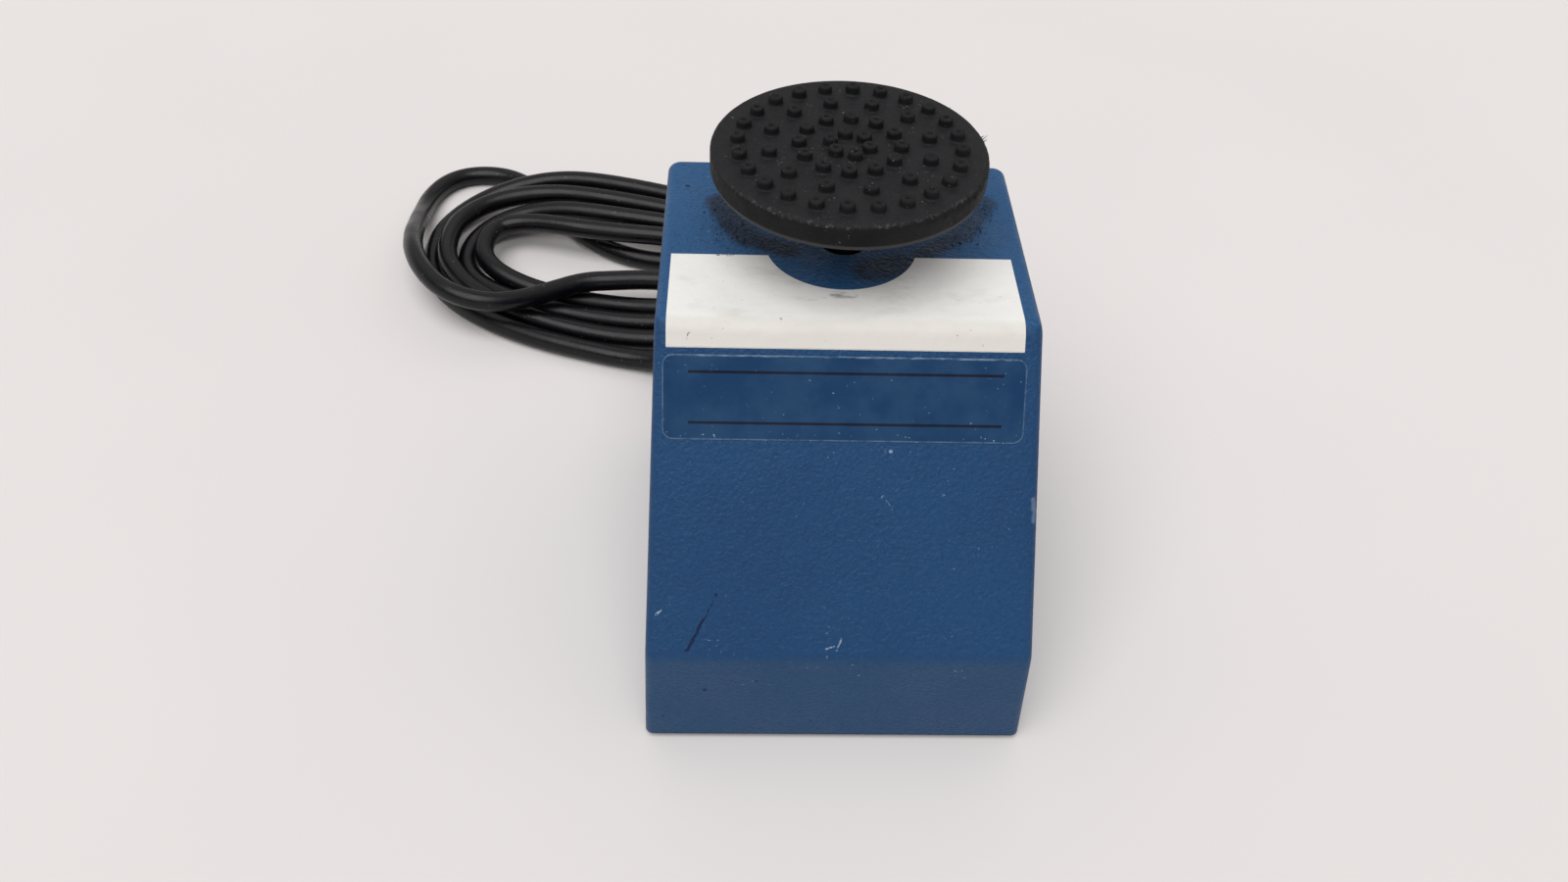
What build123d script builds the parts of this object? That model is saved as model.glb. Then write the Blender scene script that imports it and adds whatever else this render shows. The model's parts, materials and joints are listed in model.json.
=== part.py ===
"""Bench vortex mixer, touch operated, as an assembly of separate pieces in millimetres.

The origin is on the table under the middle of the case, the front faces -Y and up is +Z.
Pressing the head pushes the motor carriage down its four posts and trips the switch.
"""
from build123d import *
from math import asin, cos, degrees, pi, radians, sin, sqrt, tan
import os

os.makedirs("parts", exist_ok=True)

# ---- Driving sizes: case ----
FOOT_GAP = 2.0  # daylight under the case's lower edge
BASE_WIDTH = 111.5
BASE_DEPTH = 134.6
CASE_HEIGHT = 115.7
DRAFT = 1.9  # degrees, on all four walls
BAND_HEIGHT = 34.8  # upright band under the sloping front
TOP_DEPTH = 80.0  # flat top, from the front bend to the rear edge
WALL = 3.5
BEND_RADIUS = 6.0  # bend between the top and the sloping front
BAND_RADIUS = 9.0  # bend between the sloping front and the band
CORNER_RADIUS = 4.0
EDGE_RADIUS = 2.4
BOSS_RADIUS = 4.2
BOSS_HEIGHT = 16.0
RIB_THICKNESS = 2.2

# ---- Driving sizes: base plate, feet and screws ----
PLATE_RECESS = 4.0
PLATE_THICKNESS = 1.5
PLATE_CLEARANCE = 0.4
FOOT_RADIUS = 7.0
FOOT_MARGIN = 1.0
FOOT_WEB = 3.0  # rubber between the screw's head and the plate
BASE_SCREW_RADIUS = 1.9
BASE_SCREW_REACH = 9.5  # thread inside the case's boss
VENT_SHIFT = 4.0  # vents' middle, ahead of the motor's axis
VENT_LENGTH = 30.0
VENT_WIDTH = 3.0
VENT_PITCH = 9.0
VENT_COUNT = 5
SMALL_SCREW_RADIUS = 1.5
MOTOR_SCREW_RADIUS = 2.0
TINY_SCREW_RADIUS = 1.0
HOLE_CLEARANCE = 0.25
THREAD_CLEARANCE = 0.05

# ---- Driving sizes: suspension ----
MOTOR_AXIS_Y = 21.0
POST_X = 38.0
POST_FRONT = 51.0  # front posts, ahead of the motor's axis
POST_REAR_INSET = 10.8  # rear posts, ahead of the case's rear bosses
POST_RADIUS = 3.0
POST_FLANGE_RADIUS = 5.5
POST_FLANGE_THICKNESS = 1.2
POST_TIP = 2.5
SPRING_LENGTH = 19.0
SPRING_WIRE_RADIUS = 0.45
SPRING_CLEARANCE = 0.5
SPRING_TURNS = 6
PRESS_TRAVEL = 3.0
BUSH_WALL = 1.5
BUSH_FLANGE_THICKNESS = 1.2
BUSH_CLEARANCE = 0.06
BUSH_LIP = 1.0
CLIP_THICKNESS = 0.8
CLIP_GAP = 0.2
CLIP_WIDTH = 2.2
GROOVE_DEPTH = 0.7
CARRIAGE_THICKNESS = 2.5
CARRIAGE_MARGIN = 7.0
CARRIAGE_CORNER = 4.0

# ---- Driving sizes: motor ----
STATOR_WIDTH = 58.0
STATOR_CHAMFER = 4.0
LIMB_WIDTH = 12.0
STATOR_BACK = 9.0  # iron behind the bore
STATOR_FRONT = 7.0  # iron ahead of the bore
ROTOR_RADIUS = 15.0
AIR_GAP = 0.5
COIL_BAR_DEPTH = 12.0
COIL_AHEAD = 49.0  # coil's axis, ahead of the motor's axis
LIMB_END_MARGIN = 3.0
BOBBIN_WALL = 1.1
WINDING_DEPTH = 6.8
WINDING_CORNER = 6.0
BOBBIN_LIP = 0.7
SHADING_WIRE = 2.6
SHADING_SETBACK = 4.0  # ring's middle, in from the limb's inner face
END_RING_HEIGHT = 3.0
END_RING_SHRINK = 1.0
SHAFT_RADIUS = 4.0
BEARING_FIT = 0.04
ROTOR_GAP = 1.0
BRACKET_THICKNESS = 3.0
BRACKET_WIDTH = 16.0
BRACKET_RAMP = 3.0  # sideways run of the bracket's raised part
BUSH_HOUSING_WALL = 2.5
SLEEVE_LENGTH = 8.0
SLEEVE_WALL = 3.0
SHAFT_TAIL = 2.0
MOTOR_SCREW_X = 23.0
NUT_HEIGHT = 3.2
NUT_REACH = 1.0

# ---- Driving sizes: eccentric, bearing and drive cup ----
ECCENTRICITY = 2.0
HUB_GAP = 1.0
HUB_HEIGHT = 10.5
HUB_RADIUS = 10.5
COUNTERWEIGHT_RADIUS = 18.0
COUNTERWEIGHT_HEIGHT = 8.0
SHOULDER_HEIGHT = 0.5
BEARING_BORE_RADIUS = 4.0
BEARING_OUTER_RADIUS = 11.0
BEARING_WIDTH = 7.0
RACE_THICKNESS = 2.0
BALL_RADIUS = 1.9
BALL_CLEARANCE = 0.06
BALL_COUNT = 7
PIN_TIP = 1.0
CUP_GAP = 1.0
CUP_HEADROOM = 4.0  # from the drive cup's socket to the underside of the case's top
CUP_WALL = 3.0
CUP_WEB = 3.0
SOCKET_DEPTH = 16.0
SOCKET_WALL = 4.4
STEM_RADIUS = 4.0
STEM_FLAT = 0.8  # depth of each flat of the stem
STEM_CLEARANCE = 0.06
STEM_FLOOR_GAP = 0.2
STEM_BITE = 10.2  # stem's length inside the head's neck
STEM_HOLE_CLEARANCE = 0.8

# ---- Driving sizes: head ----
PLATFORM_RISE = 21.9  # underside of the platform above the case's top
PLATFORM_THICKNESS = 4.2
FLANGE_THICKNESS = 1.2
COVER_RADIUS = 38.1
COVER_WALL = 2.1
COVER_THICKNESS = 3.0
FLANGE_INSET = 0.7
NECK_RISE = 4.5  # lower end of the head's neck above the case's top
NECK_RADIUS = 7.0
FLARE_RADIUS = 16.0
RIB_COUNT = 6
HEAD_RIB_THICKNESS = 1.6
HEAD_RIB_DROP = 8.0
NUB_RADIUS = 2.1
NUB_HEIGHT = 2.6
NUB_ROUND = 0.5
DIMPLE_RADIUS = 0.55
DIMPLE_DEPTH = 0.8
NUB_RING_RADII = [30.6, 22.5, 13.9, 5.55]
NUB_COUNTS = [24, 12, 12, 6]
NUB_ANGLES = [10.8, 11.4, 26.0, 102.0]  # degrees, first nub of each ring

# ---- Driving sizes: boot under the top ----
BOOT_THICKNESS = 1.2
BOOT_OUTER_RADIUS = 27.0
BOOT_INNER_RADIUS = 18.0
BOOT_COLLAR_HEIGHT = 4.5
BOOT_COLLAR_DROP = 3.0  # collar's top under the socket's rim
RING_THICKNESS = 1.5
RING_SCREW_RADIUS = 1.25
RING_SCREW_BITE = 2.6
RING_SCREW_COUNT = 4

# ---- Driving sizes: switch ----
SWITCH_LENGTH = 19.8
SWITCH_THICKNESS = 6.4
SWITCH_HEIGHT = 10.2
SWITCH_LIFT = 0.8
SWITCH_HOLE_SPACING = 9.5
HINGE_RISE = 1.2
HINGE_SETBACK = 2.0
LEVER_LENGTH = 14.0
LEVER_THICKNESS = 0.4
LEVER_WIDTH = 4.0
LEVER_GAP = 0.15
KNUCKLE_RADIUS = 0.9
HINGE_PIN_RADIUS = 0.4
PLUNGER_RADIUS = 1.0
PLUNGER_OFFSET = 4.5
PLUNGER_LENGTH = 4.5
PUSHER_X = -31.0
PUSHER_WIDTH = 6.0
PUSHER_SETBACK = 18.55  # pusher's middle, behind the case's front edge
SWITCH_BRACKET_THICKNESS = 1.2
SWITCH_BRACKET_FOOT = 8.0
BRACKET_SCREW_X = 6.0
TERMINAL_LENGTH = 5.0

# ---- Driving sizes: wiring ----
BLOCK_LENGTH = 24.0
BLOCK_DEPTH = 12.0
BLOCK_HEIGHT = 11.0
BLOCK_X = 5.0
BLOCK_SETBACK = 15.3  # block's middle, ahead of the case's rear edge
WIRE_RADIUS = 1.0
WIRE_BEND = 3.0
WIRE_TIGHT_BEND = 2.0
WIRE_STUB = 4.5  # straight wire next to a terminal
WIRE_PITCH = 3.0
WIRE_CLIMB = 10.0  # run in which the switch's wires climb to its terminals
GROUND_X = 24.0
GROUND_AHEAD = 16.0  # ground screw, ahead of the block's middle

# ---- Driving sizes: labels ----
LABEL_THICKNESS = 0.2
LABEL_WIDTH = 95.8
LABEL_SHIFT = -0.9
LABEL_REAR_Y = 13.2
LABEL_FRONT_DROP = 7.2  # label's lower edge below the bend, along the slope
CUTOUT_RADIUS = 21.6
CUTOUT_Y = 19.4
NAMEPLATE_WIDTH = 97.8
NAMEPLATE_HEIGHT = 23.2
NAMEPLATE_GAP = 1.7
NAMEPLATE_CORNER = 3.0
REAR_LABEL_WIDTH = 62.0
REAR_LABEL_HEIGHT = 34.0
REAR_LABEL_RISE = 68.0

# ---- Driving sizes: mains lead ----
CORD_DIAMETER = 8.0
CORD_EXIT_X = 28.0
CORD_EXIT_HEIGHT = 18.0
RELIEF_FLANGE_RADIUS = 9.0
RELIEF_FLANGE_THICKNESS = 2.5
RELIEF_LENGTH = 34.0
RELIEF_ROOT_RADIUS = 6.4
RELIEF_TIP_RADIUS = 4.9
RELIEF_CLEARANCE = 0.1
RELIEF_NUT_RADIUS = 9.5
RELIEF_NUT_THICKNESS = 3.0
RELIEF_GROOVES = 5
GROOVE_START = 6.0
GROOVE_PITCH = 4.6
GROOVE_WIDTH = 1.8
INNER_JACKET = 5.0
PLUG_PLACE = (-25.0, 87.0, 12.2)  # middle of the plug's rear end
PLUG_WIDTH = 26.0
PLUG_HEIGHT = 24.0
PLUG_LENGTH = 26.0
PLUG_CORNER = 6.0
PLUG_NECK = 14.0
PLUG_NECK_RADIUS = 8.5
BLADE_SPACING = 12.7
BLADE_WIDTH = 6.35
BLADE_THICKNESS = 1.52
BLADE_LENGTH = 17.5
BLADE_ROOT = 5.0  # length seated in the plug's body
EARTH_PIN_RADIUS = 2.4
EARTH_PIN_LENGTH = 20.6
EARTH_PIN_DROP = 11.9

# ---- Driving sizes: cord as it lies on the table behind the case ----
CORD_FLOOR = CORD_DIAMETER / 2 + 0.1
HANK_CENTRE = (-100.0, 159.0)
HANK_TURN = -14.0  # degrees, the hank's long way against the case's width
HANK_QUARTERS = 15
HANK_STUB = 8.0
# The spiral's stations in the hank's own axes: right, rear, left and front
STATION_PLACES = [(63.0, 8.6, 13.2), (7.5, 15.0, 15.0), (-32.0, 3.0, 7.0), (8.5, -17.6, CORD_FLOOR)]
STATION_STEPS = [(11.5, 4.6), (-0.8, 11.0), (-9.3, 1.5), (1.7, -10.5)]  # for each full turn
HANK_ENTRY = (-72.0, 141.6, 13.2)
ENTRY_TURN = 5.0  # degrees, the way the cord runs into the hank, from +X to +Y
LEAD_STRAIGHT = 21.8  # straight cord behind the strain relief
ENTRY_STRAIGHT = 13.5
TAIL_STRAIGHT = 11.0
PLUG_STRAIGHT = 15.0

# ---- Levels and places that follow ----
BASE = (Align.CENTER, Align.CENTER, Align.MIN)
case_top = FOOT_GAP + CASE_HEIGHT
ceiling = case_top - WALL
plate_bottom = FOOT_GAP + PLATE_RECESS
plate_top = plate_bottom + PLATE_THICKNESS
spring_bottom = plate_top + POST_FLANGE_THICKNESS
spring_top = spring_bottom + SPRING_LENGTH
carriage_bottom = spring_top + BUSH_FLANGE_THICKNESS
carriage_top = carriage_bottom + CARRIAGE_THICKNESS
bush_top = carriage_top + BUSH_LIP
clip_bottom = bush_top + CLIP_GAP
post_top = clip_bottom + CLIP_THICKNESS + POST_TIP
socket_top = ceiling - CUP_HEADROOM
web_top = socket_top - SOCKET_DEPTH
web_bottom = web_top - CUP_WEB
pin_top = web_bottom - CUP_GAP
bearing_top = pin_top - PIN_TIP - CLIP_THICKNESS
bearing_bottom = bearing_top - BEARING_WIDTH
hub_top = bearing_bottom - SHOULDER_HEIGHT
hub_bottom = hub_top - HUB_HEIGHT
upper_sleeve_top = hub_bottom - HUB_GAP
upper_sleeve_bottom = upper_sleeve_top - SLEEVE_LENGTH
core_top = upper_sleeve_bottom - ROTOR_GAP - END_RING_HEIGHT
core_bottom = carriage_top
stack_height = core_top - core_bottom
lower_sleeve_top = core_bottom - END_RING_HEIGHT - ROTOR_GAP
lower_sleeve_bottom = lower_sleeve_top - SLEEVE_LENGTH
neck_bottom = case_top + NECK_RISE
stem_bottom = web_top + STEM_FLOOR_GAP
stem_top = neck_bottom + STEM_BITE
platform_bottom = case_top + PLATFORM_RISE
platform_top = platform_bottom + PLATFORM_THICKNESS
cover_bottom = platform_bottom + FLANGE_THICKNESS
cover_top = platform_top + COVER_THICKNESS
head_y = MOTOR_AXIS_Y + ECCENTRICITY
platform_radius = COVER_RADIUS - COVER_WALL
hole_radius = STEM_RADIUS + ECCENTRICITY + STEM_HOLE_CLEARANCE


def draft_run(height):
    """How far a drafted wall leans in over a height."""
    return height * tan(radians(DRAFT))


rear_top_y = BASE_DEPTH / 2 - draft_run(CASE_HEIGHT)
bend_y = rear_top_y - TOP_DEPTH
band_y = -BASE_DEPTH / 2 + draft_run(BAND_HEIGHT)
band_z = FOOT_GAP + BAND_HEIGHT
slope_start = Vector(0, band_y, band_z)
slope_end = Vector(0, bend_y, case_top)
slope_length = (slope_end - slope_start).length
slope_way = (slope_end - slope_start).normalized()
slope_out = Vector(0, -slope_way.Z, slope_way.Y)
slope_plane = Plane(origin=slope_start, x_dir=(1, 0, 0), z_dir=slope_out)
rear_out = Vector(0, cos(radians(DRAFT)), sin(radians(DRAFT)))
rear_plane = Plane(origin=(0, BASE_DEPTH / 2, FOOT_GAP), x_dir=(-1, 0, 0), z_dir=rear_out)

boss_x = BASE_WIDTH / 2 - WALL - FOOT_RADIUS - FOOT_MARGIN
boss_y = BASE_DEPTH / 2 - WALL - FOOT_RADIUS - FOOT_MARGIN
boss_places = [(x, y) for x in (-boss_x, boss_x) for y in (-boss_y, boss_y)]
post_front_y = MOTOR_AXIS_Y - POST_FRONT
post_rear_y = boss_y - POST_REAR_INSET
post_places = [(x, y) for x in (-POST_X, POST_X) for y in (post_front_y, post_rear_y)]


def at_height(places, z):
    """The same places in plan, at one height."""
    return [(x, y, z) for x, y in places]


# ---- Helpers ----
HEAD_RATIO = 1.85  # a pan head's radius over its shank's
HEAD_HEIGHT_RATIO = 1.2


def pan_screw(shank, length):
    """Cross-headed screw along +Z, with the seat of its head at the origin."""
    head_height = HEAD_HEIGHT_RATIO * shank
    with BuildPart() as screw:
        with Locations((0, 0, -head_height)):
            Cylinder(HEAD_RATIO * shank, head_height, align=BASE)
        fillet(screw.edges().group_by(Axis.Z)[0], head_height * 0.4)
        Cylinder(shank, length, align=BASE)
        with BuildSketch(Plane.XY.offset(-head_height)):
            Rectangle(2 * shank, 0.5 * shank)
            Rectangle(0.5 * shank, 2 * shank)
        extrude(amount=0.55 * head_height, mode=Mode.SUBTRACT)
    return screw.part


def add_biarc(start, start_way, end, end_way):
    """Two tangent arcs from one point and direction to another, inside a BuildLine."""
    chord = end - start
    ways = start_way + end_way
    along = chord.dot(ways)
    spread = 2 * (1 - start_way.dot(end_way))
    if spread < 1e-9:
        reach = chord.dot(chord) / (2 * along)
    else:
        reach = (-along + sqrt(along * along + spread * chord.dot(chord))) / spread
    leave = start + start_way * reach
    arrive = end - end_way * reach
    middle = (leave + arrive) * 0.5
    TangentArc(start, middle, tangent=start_way)
    TangentArc(middle, end, tangent=arrive - leave)


def least_gap(points, diameter, apart):
    """Least clear gap between stretches of a line that lie apart along it."""
    least = 1e9
    lengths = [0.0]
    for before, after in zip(points, points[1:]):
        lengths.append(lengths[-1] + (after - before).length)
    for i, one in enumerate(points):
        for j in range(i + 1, len(points)):
            if lengths[j] - lengths[i] > apart:
                least = min(least, (points[j] - one).length)
    return least - diameter


def gap_between(one, other, diameter):
    """Least clear gap between two tubes of one diameter."""
    return min((a - b).length for a in one for b in other) - diameter


def tube_radii(points):
    """The radius of each bend of a tube's route: 0.45 of its shorter run over the half turn's tangent."""
    radii = []
    for before, corner, after in zip(points, points[1:], points[2:]):
        turn = radians((corner - before).get_angle(after - corner))
        shorter = min((corner - before).length, (after - corner).length)
        radii.append(0.45 * shorter / tan(turn / 2))
    return radii


def housing_form(inset):
    """The case's outer shape, moved in by an inset: drafted block with the sloping front cut off."""
    top = CASE_HEIGHT - inset
    shift = slope_out * -inset
    reach = BASE_DEPTH * slope_way
    lower = slope_start + shift - reach
    upper = slope_end + shift + reach
    away = slope_out * BASE_DEPTH
    wedge = [lower, upper, upper + away, lower + away]
    with BuildPart() as form:
        with BuildSketch(Plane.XY.offset(FOOT_GAP)):
            Rectangle(BASE_WIDTH - 2 * inset, BASE_DEPTH - 2 * inset)
        extrude(amount=top, taper=DRAFT)
        with BuildSketch(Plane.YZ):
            Polygon(*[(p.Y, p.Z) for p in wedge], align=None)
        extrude(amount=BASE_WIDTH, both=True, mode=Mode.SUBTRACT)
        uprights = form.edges().filter_by(lambda e: e.length > top * 0.9 and e.center().Y > 0)
        fillet(uprights, max(CORNER_RADIUS - inset, 0.5))
        rails = form.edges().filter_by(Axis.X)
        bend = rails.group_by(Axis.Z)[-1].sort_by(Axis.Y)[0]
        lower_bend = rails.sort_by(lambda e: abs(e.center().Z - band_z))[0]
        fillet(bend, max(BEND_RADIUS - inset, 0.5))
        fillet(lower_bend, max(BAND_RADIUS - inset, 0.5))
        if inset < EDGE_RADIUS:
            rim = form.faces().sort_by(Axis.Z)[-1].edges().sort_by(Axis.Y)[1:]
            fillet(rim, EDGE_RADIUS - inset)
    return form.part


# ---- Case ----
outer_form = housing_form(0)
cavity = housing_form(WALL)

with BuildPart() as housing:
    add(outer_form)
    add(cavity, mode=Mode.SUBTRACT)
    with Locations(*at_height(boss_places, plate_top)):
        Cylinder(BOSS_RADIUS, BOSS_HEIGHT, align=BASE)
    for x, y in boss_places:
        to_side = BASE_WIDTH / 2 - WALL / 2 - draft_run(plate_top) - abs(x)
        to_end = BASE_DEPTH / 2 - WALL / 2 - draft_run(plate_top) - abs(y)
        side = 1 if x > 0 else -1
        end = 1 if y > 0 else -1
        with Locations((x + side * to_side / 2, y, plate_top)):
            Box(to_side, RIB_THICKNESS, BOSS_HEIGHT, align=BASE)
        with Locations((x, y + end * to_end / 2, plate_top)):
            Box(RIB_THICKNESS, to_end, BOSS_HEIGHT, align=BASE)
    with Locations(*at_height(boss_places, plate_top)):
        Cylinder(BASE_SCREW_RADIUS + THREAD_CLEARANCE, BASE_SCREW_REACH + 1, align=BASE, mode=Mode.SUBTRACT)
    with Locations((0, MOTOR_AXIS_Y, ceiling - 1)):
        Cylinder(hole_radius, WALL + 2, align=BASE, mode=Mode.SUBTRACT)
    with Locations((0, MOTOR_AXIS_Y, ceiling - 1)):
        with PolarLocations((BOOT_INNER_RADIUS + BOOT_OUTER_RADIUS) / 2, RING_SCREW_COUNT, 45):
            pilot = RING_SCREW_RADIUS + THREAD_CLEARANCE
            Cylinder(pilot, RING_SCREW_BITE + 1.2, align=BASE, mode=Mode.SUBTRACT)
    with BuildSketch(rear_plane.offset(2)):
        with Locations((-CORD_EXIT_X, CORD_EXIT_HEIGHT)):
            Circle(RELIEF_ROOT_RADIUS)
    extrude(amount=-2 * WALL, mode=Mode.SUBTRACT)
housing.part.label = "housing"
export_step(housing.part, "parts/housing.step")

# ---- Base plate and feet ----
plate_lean = WALL + PLATE_CLEARANCE + draft_run(plate_top - FOOT_GAP)
pusher_y = -BASE_DEPTH / 2 + PUSHER_SETBACK
hinge_x = PUSHER_X + LEVER_LENGTH
switch_bottom = plate_top + SWITCH_LIFT
switch_top = switch_bottom + SWITCH_HEIGHT
hinge_z = switch_top + HINGE_RISE
switch_x = hinge_x + HINGE_SETBACK - SWITCH_LENGTH / 2
switch_front = pusher_y - SWITCH_THICKNESS / 2
bracket_screw_y = switch_front - SWITCH_BRACKET_FOOT * 0.6
bracket_screw_places = [(switch_x + side * BRACKET_SCREW_X, bracket_screw_y) for side in (-1, 1)]
block_y = BASE_DEPTH / 2 - BLOCK_SETBACK
block_screw_places = [(BLOCK_X - BLOCK_LENGTH / 4, block_y), (BLOCK_X + BLOCK_LENGTH / 4, block_y)]
ground_place = (GROUND_X, block_y - GROUND_AHEAD)

with BuildPart() as base_plate:
    with BuildSketch(Plane.XY.offset(plate_bottom)):
        Rectangle(BASE_WIDTH - 2 * plate_lean, BASE_DEPTH - 2 * plate_lean)
        with Locations(*boss_places):
            Circle(BASE_SCREW_RADIUS + HOLE_CLEARANCE, mode=Mode.SUBTRACT)
        with Locations(*post_places, *bracket_screw_places, *block_screw_places, ground_place):
            Circle(SMALL_SCREW_RADIUS + HOLE_CLEARANCE, mode=Mode.SUBTRACT)
        with Locations((0, MOTOR_AXIS_Y - VENT_SHIFT)):
            with GridLocations(VENT_PITCH, 0, VENT_COUNT, 1):
                SlotOverall(VENT_LENGTH, VENT_WIDTH, rotation=90, mode=Mode.SUBTRACT)
    extrude(amount=PLATE_THICKNESS)
base_plate.part.label = "base_plate"
export_step(base_plate.part, "parts/base_plate.step")

with BuildPart() as feet:
    with Locations(*at_height(boss_places, 0)):
        Cylinder(FOOT_RADIUS, plate_bottom, align=BASE)
    fillet(feet.edges().group_by(Axis.Z)[0], 0.8)
    with Locations(*at_height(boss_places, 0)):
        Cylinder(BASE_SCREW_RADIUS + HOLE_CLEARANCE, plate_bottom, align=BASE, mode=Mode.SUBTRACT)
    with Locations(*at_height(boss_places, 0)):
        pocket = HEAD_RATIO * BASE_SCREW_RADIUS + HOLE_CLEARANCE
        Cylinder(pocket, plate_bottom - FOOT_WEB, align=BASE, mode=Mode.SUBTRACT)
feet.part.label = "feet"
export_step(feet.part, "parts/feet.step")

base_screw = pan_screw(BASE_SCREW_RADIUS, FOOT_WEB + PLATE_THICKNESS + BASE_SCREW_REACH)
with BuildPart() as base_screws:
    with Locations(*at_height(boss_places, plate_bottom - FOOT_WEB)):
        add(base_screw)
base_screws.part.label = "base_screws"
export_step(base_screws.part, "parts/base_screws.step")

# ---- Suspension: posts, springs, clips and bushes ----
post_bite = 7.0  # thread of the screw inside the post
post_height = post_top - plate_top
groove_radius = POST_RADIUS - GROOVE_DEPTH
with BuildPart() as suspension_posts:
    with Locations(*at_height(post_places, plate_top)):
        Cylinder(POST_RADIUS, post_height, align=BASE)
        Cylinder(POST_FLANGE_RADIUS, POST_FLANGE_THICKNESS, align=BASE)
    chamfer(suspension_posts.edges().group_by(Axis.Z)[-1], 0.5)
    with Locations(*at_height(post_places, plate_top)):
        bore = SMALL_SCREW_RADIUS + THREAD_CLEARANCE
        Cylinder(bore, post_bite + 1, align=BASE, mode=Mode.SUBTRACT)
    with BuildSketch(Plane.XY.offset(clip_bottom)):
        with Locations(*post_places):
            Circle(POST_RADIUS + 1)
            Circle(groove_radius, mode=Mode.SUBTRACT)
    extrude(amount=CLIP_THICKNESS, mode=Mode.SUBTRACT)
suspension_posts.part.label = "suspension_posts"
export_step(suspension_posts.part, "parts/suspension_posts.step")

post_screw = pan_screw(SMALL_SCREW_RADIUS, PLATE_THICKNESS + post_bite)

with BuildPart() as post_clips:
    with BuildSketch(Plane.XY.offset(clip_bottom)):
        with Locations(*post_places):
            Circle(POST_RADIUS + CLIP_WIDTH)
            Circle(groove_radius, mode=Mode.SUBTRACT)
            with Locations((0, -POST_RADIUS - CLIP_WIDTH / 2)):
                Rectangle(2 * groove_radius * 0.8, 2 * CLIP_WIDTH + 1, mode=Mode.SUBTRACT)
    extrude(amount=CLIP_THICKNESS)
post_clips.part.label = "post_clips"
export_step(post_clips.part, "parts/post_clips.step")

spring_radius = POST_RADIUS + SPRING_CLEARANCE + SPRING_WIRE_RADIUS
spring_rise = SPRING_LENGTH - 2 * SPRING_WIRE_RADIUS


def helix_point(turn):
    """Point of the spring's wire after so many turns."""
    angle = 2 * pi * turn
    z = SPRING_WIRE_RADIUS + spring_rise * turn / SPRING_TURNS
    return Vector(spring_radius * cos(angle), spring_radius * sin(angle), z)


def helix_way(turn):
    """Direction of the spring's wire there."""
    angle = 2 * pi * turn
    rise = spring_rise / (2 * pi * SPRING_TURNS)
    return Vector(-spring_radius * sin(angle), spring_radius * cos(angle), rise).normalized()


with BuildPart() as spring:
    with BuildLine() as wire:
        for step in range(4 * SPRING_TURNS):
            here = step / 4
            there = (step + 1) / 4
            add_biarc(helix_point(here), helix_way(here), helix_point(there), helix_way(there))
    with BuildSketch(Plane(origin=helix_point(0), z_dir=helix_way(0))):
        Circle(SPRING_WIRE_RADIUS)
    sweep()
wire_length = sum(edge.length for edge in wire.line.edges())
print("spring volume over section times length", spring.part.volume / (pi * SPRING_WIRE_RADIUS**2 * wire_length))

with BuildPart() as return_springs:
    with Locations(*at_height(post_places, spring_bottom)):
        add(spring.part)
return_springs.part.label = "return_springs"
export_step(return_springs.part, "parts/return_springs.step")

bush_bore = POST_RADIUS + BUSH_CLEARANCE
bush_radius = bush_bore + BUSH_WALL
with BuildPart() as carriage_bushes:
    with Locations(*at_height(post_places, spring_top)):
        Cylinder(spring_radius + SPRING_WIRE_RADIUS + 1, BUSH_FLANGE_THICKNESS, align=BASE)
        Cylinder(bush_radius, bush_top - spring_top, align=BASE)
    with Locations(*at_height(post_places, spring_top)):
        Cylinder(bush_bore, bush_top - spring_top, align=BASE, mode=Mode.SUBTRACT)
carriage_bushes.part.label = "carriage_bushes"
export_step(carriage_bushes.part, "parts/carriage_bushes.step")

# ---- Carriage plate ----
coil_y = MOTOR_AXIS_Y - COIL_AHEAD
bore_radius = ROTOR_RADIUS + AIR_GAP
stator_front_y = MOTOR_AXIS_Y - bore_radius - STATOR_FRONT
stator_rear_y = MOTOR_AXIS_Y + bore_radius + STATOR_BACK
limb_end_y = coil_y - COIL_BAR_DEPTH / 2 - LIMB_END_MARGIN
limb_inner_x = STATOR_WIDTH / 2 - LIMB_WIDTH
limb_screw_x = STATOR_WIDTH / 2 - LIMB_WIDTH / 2
rear_screw_places = [(-MOTOR_SCREW_X, MOTOR_AXIS_Y), (MOTOR_SCREW_X, MOTOR_AXIS_Y)]
front_screw_places = [(-limb_screw_x, coil_y), (limb_screw_x, coil_y)]
carriage_front_y = post_front_y - CARRIAGE_MARGIN
pusher_reach = carriage_front_y - pusher_y + CARRIAGE_THICKNESS / 2  # tab's length ahead of the carriage
carriage_rear_y = post_rear_y + CARRIAGE_MARGIN
carriage_width = 2 * (POST_X + CARRIAGE_MARGIN)
notch_rear_y = stator_front_y + COIL_BAR_DEPTH
lever_angle = degrees(asin(PRESS_TRAVEL / LEVER_LENGTH))
lever_lean = radians(lever_angle)
lever_tip_z = hinge_z + PRESS_TRAVEL + LEVER_THICKNESS / 2 * cos(lever_lean)
pusher_bottom = lever_tip_z + LEVER_GAP

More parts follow.
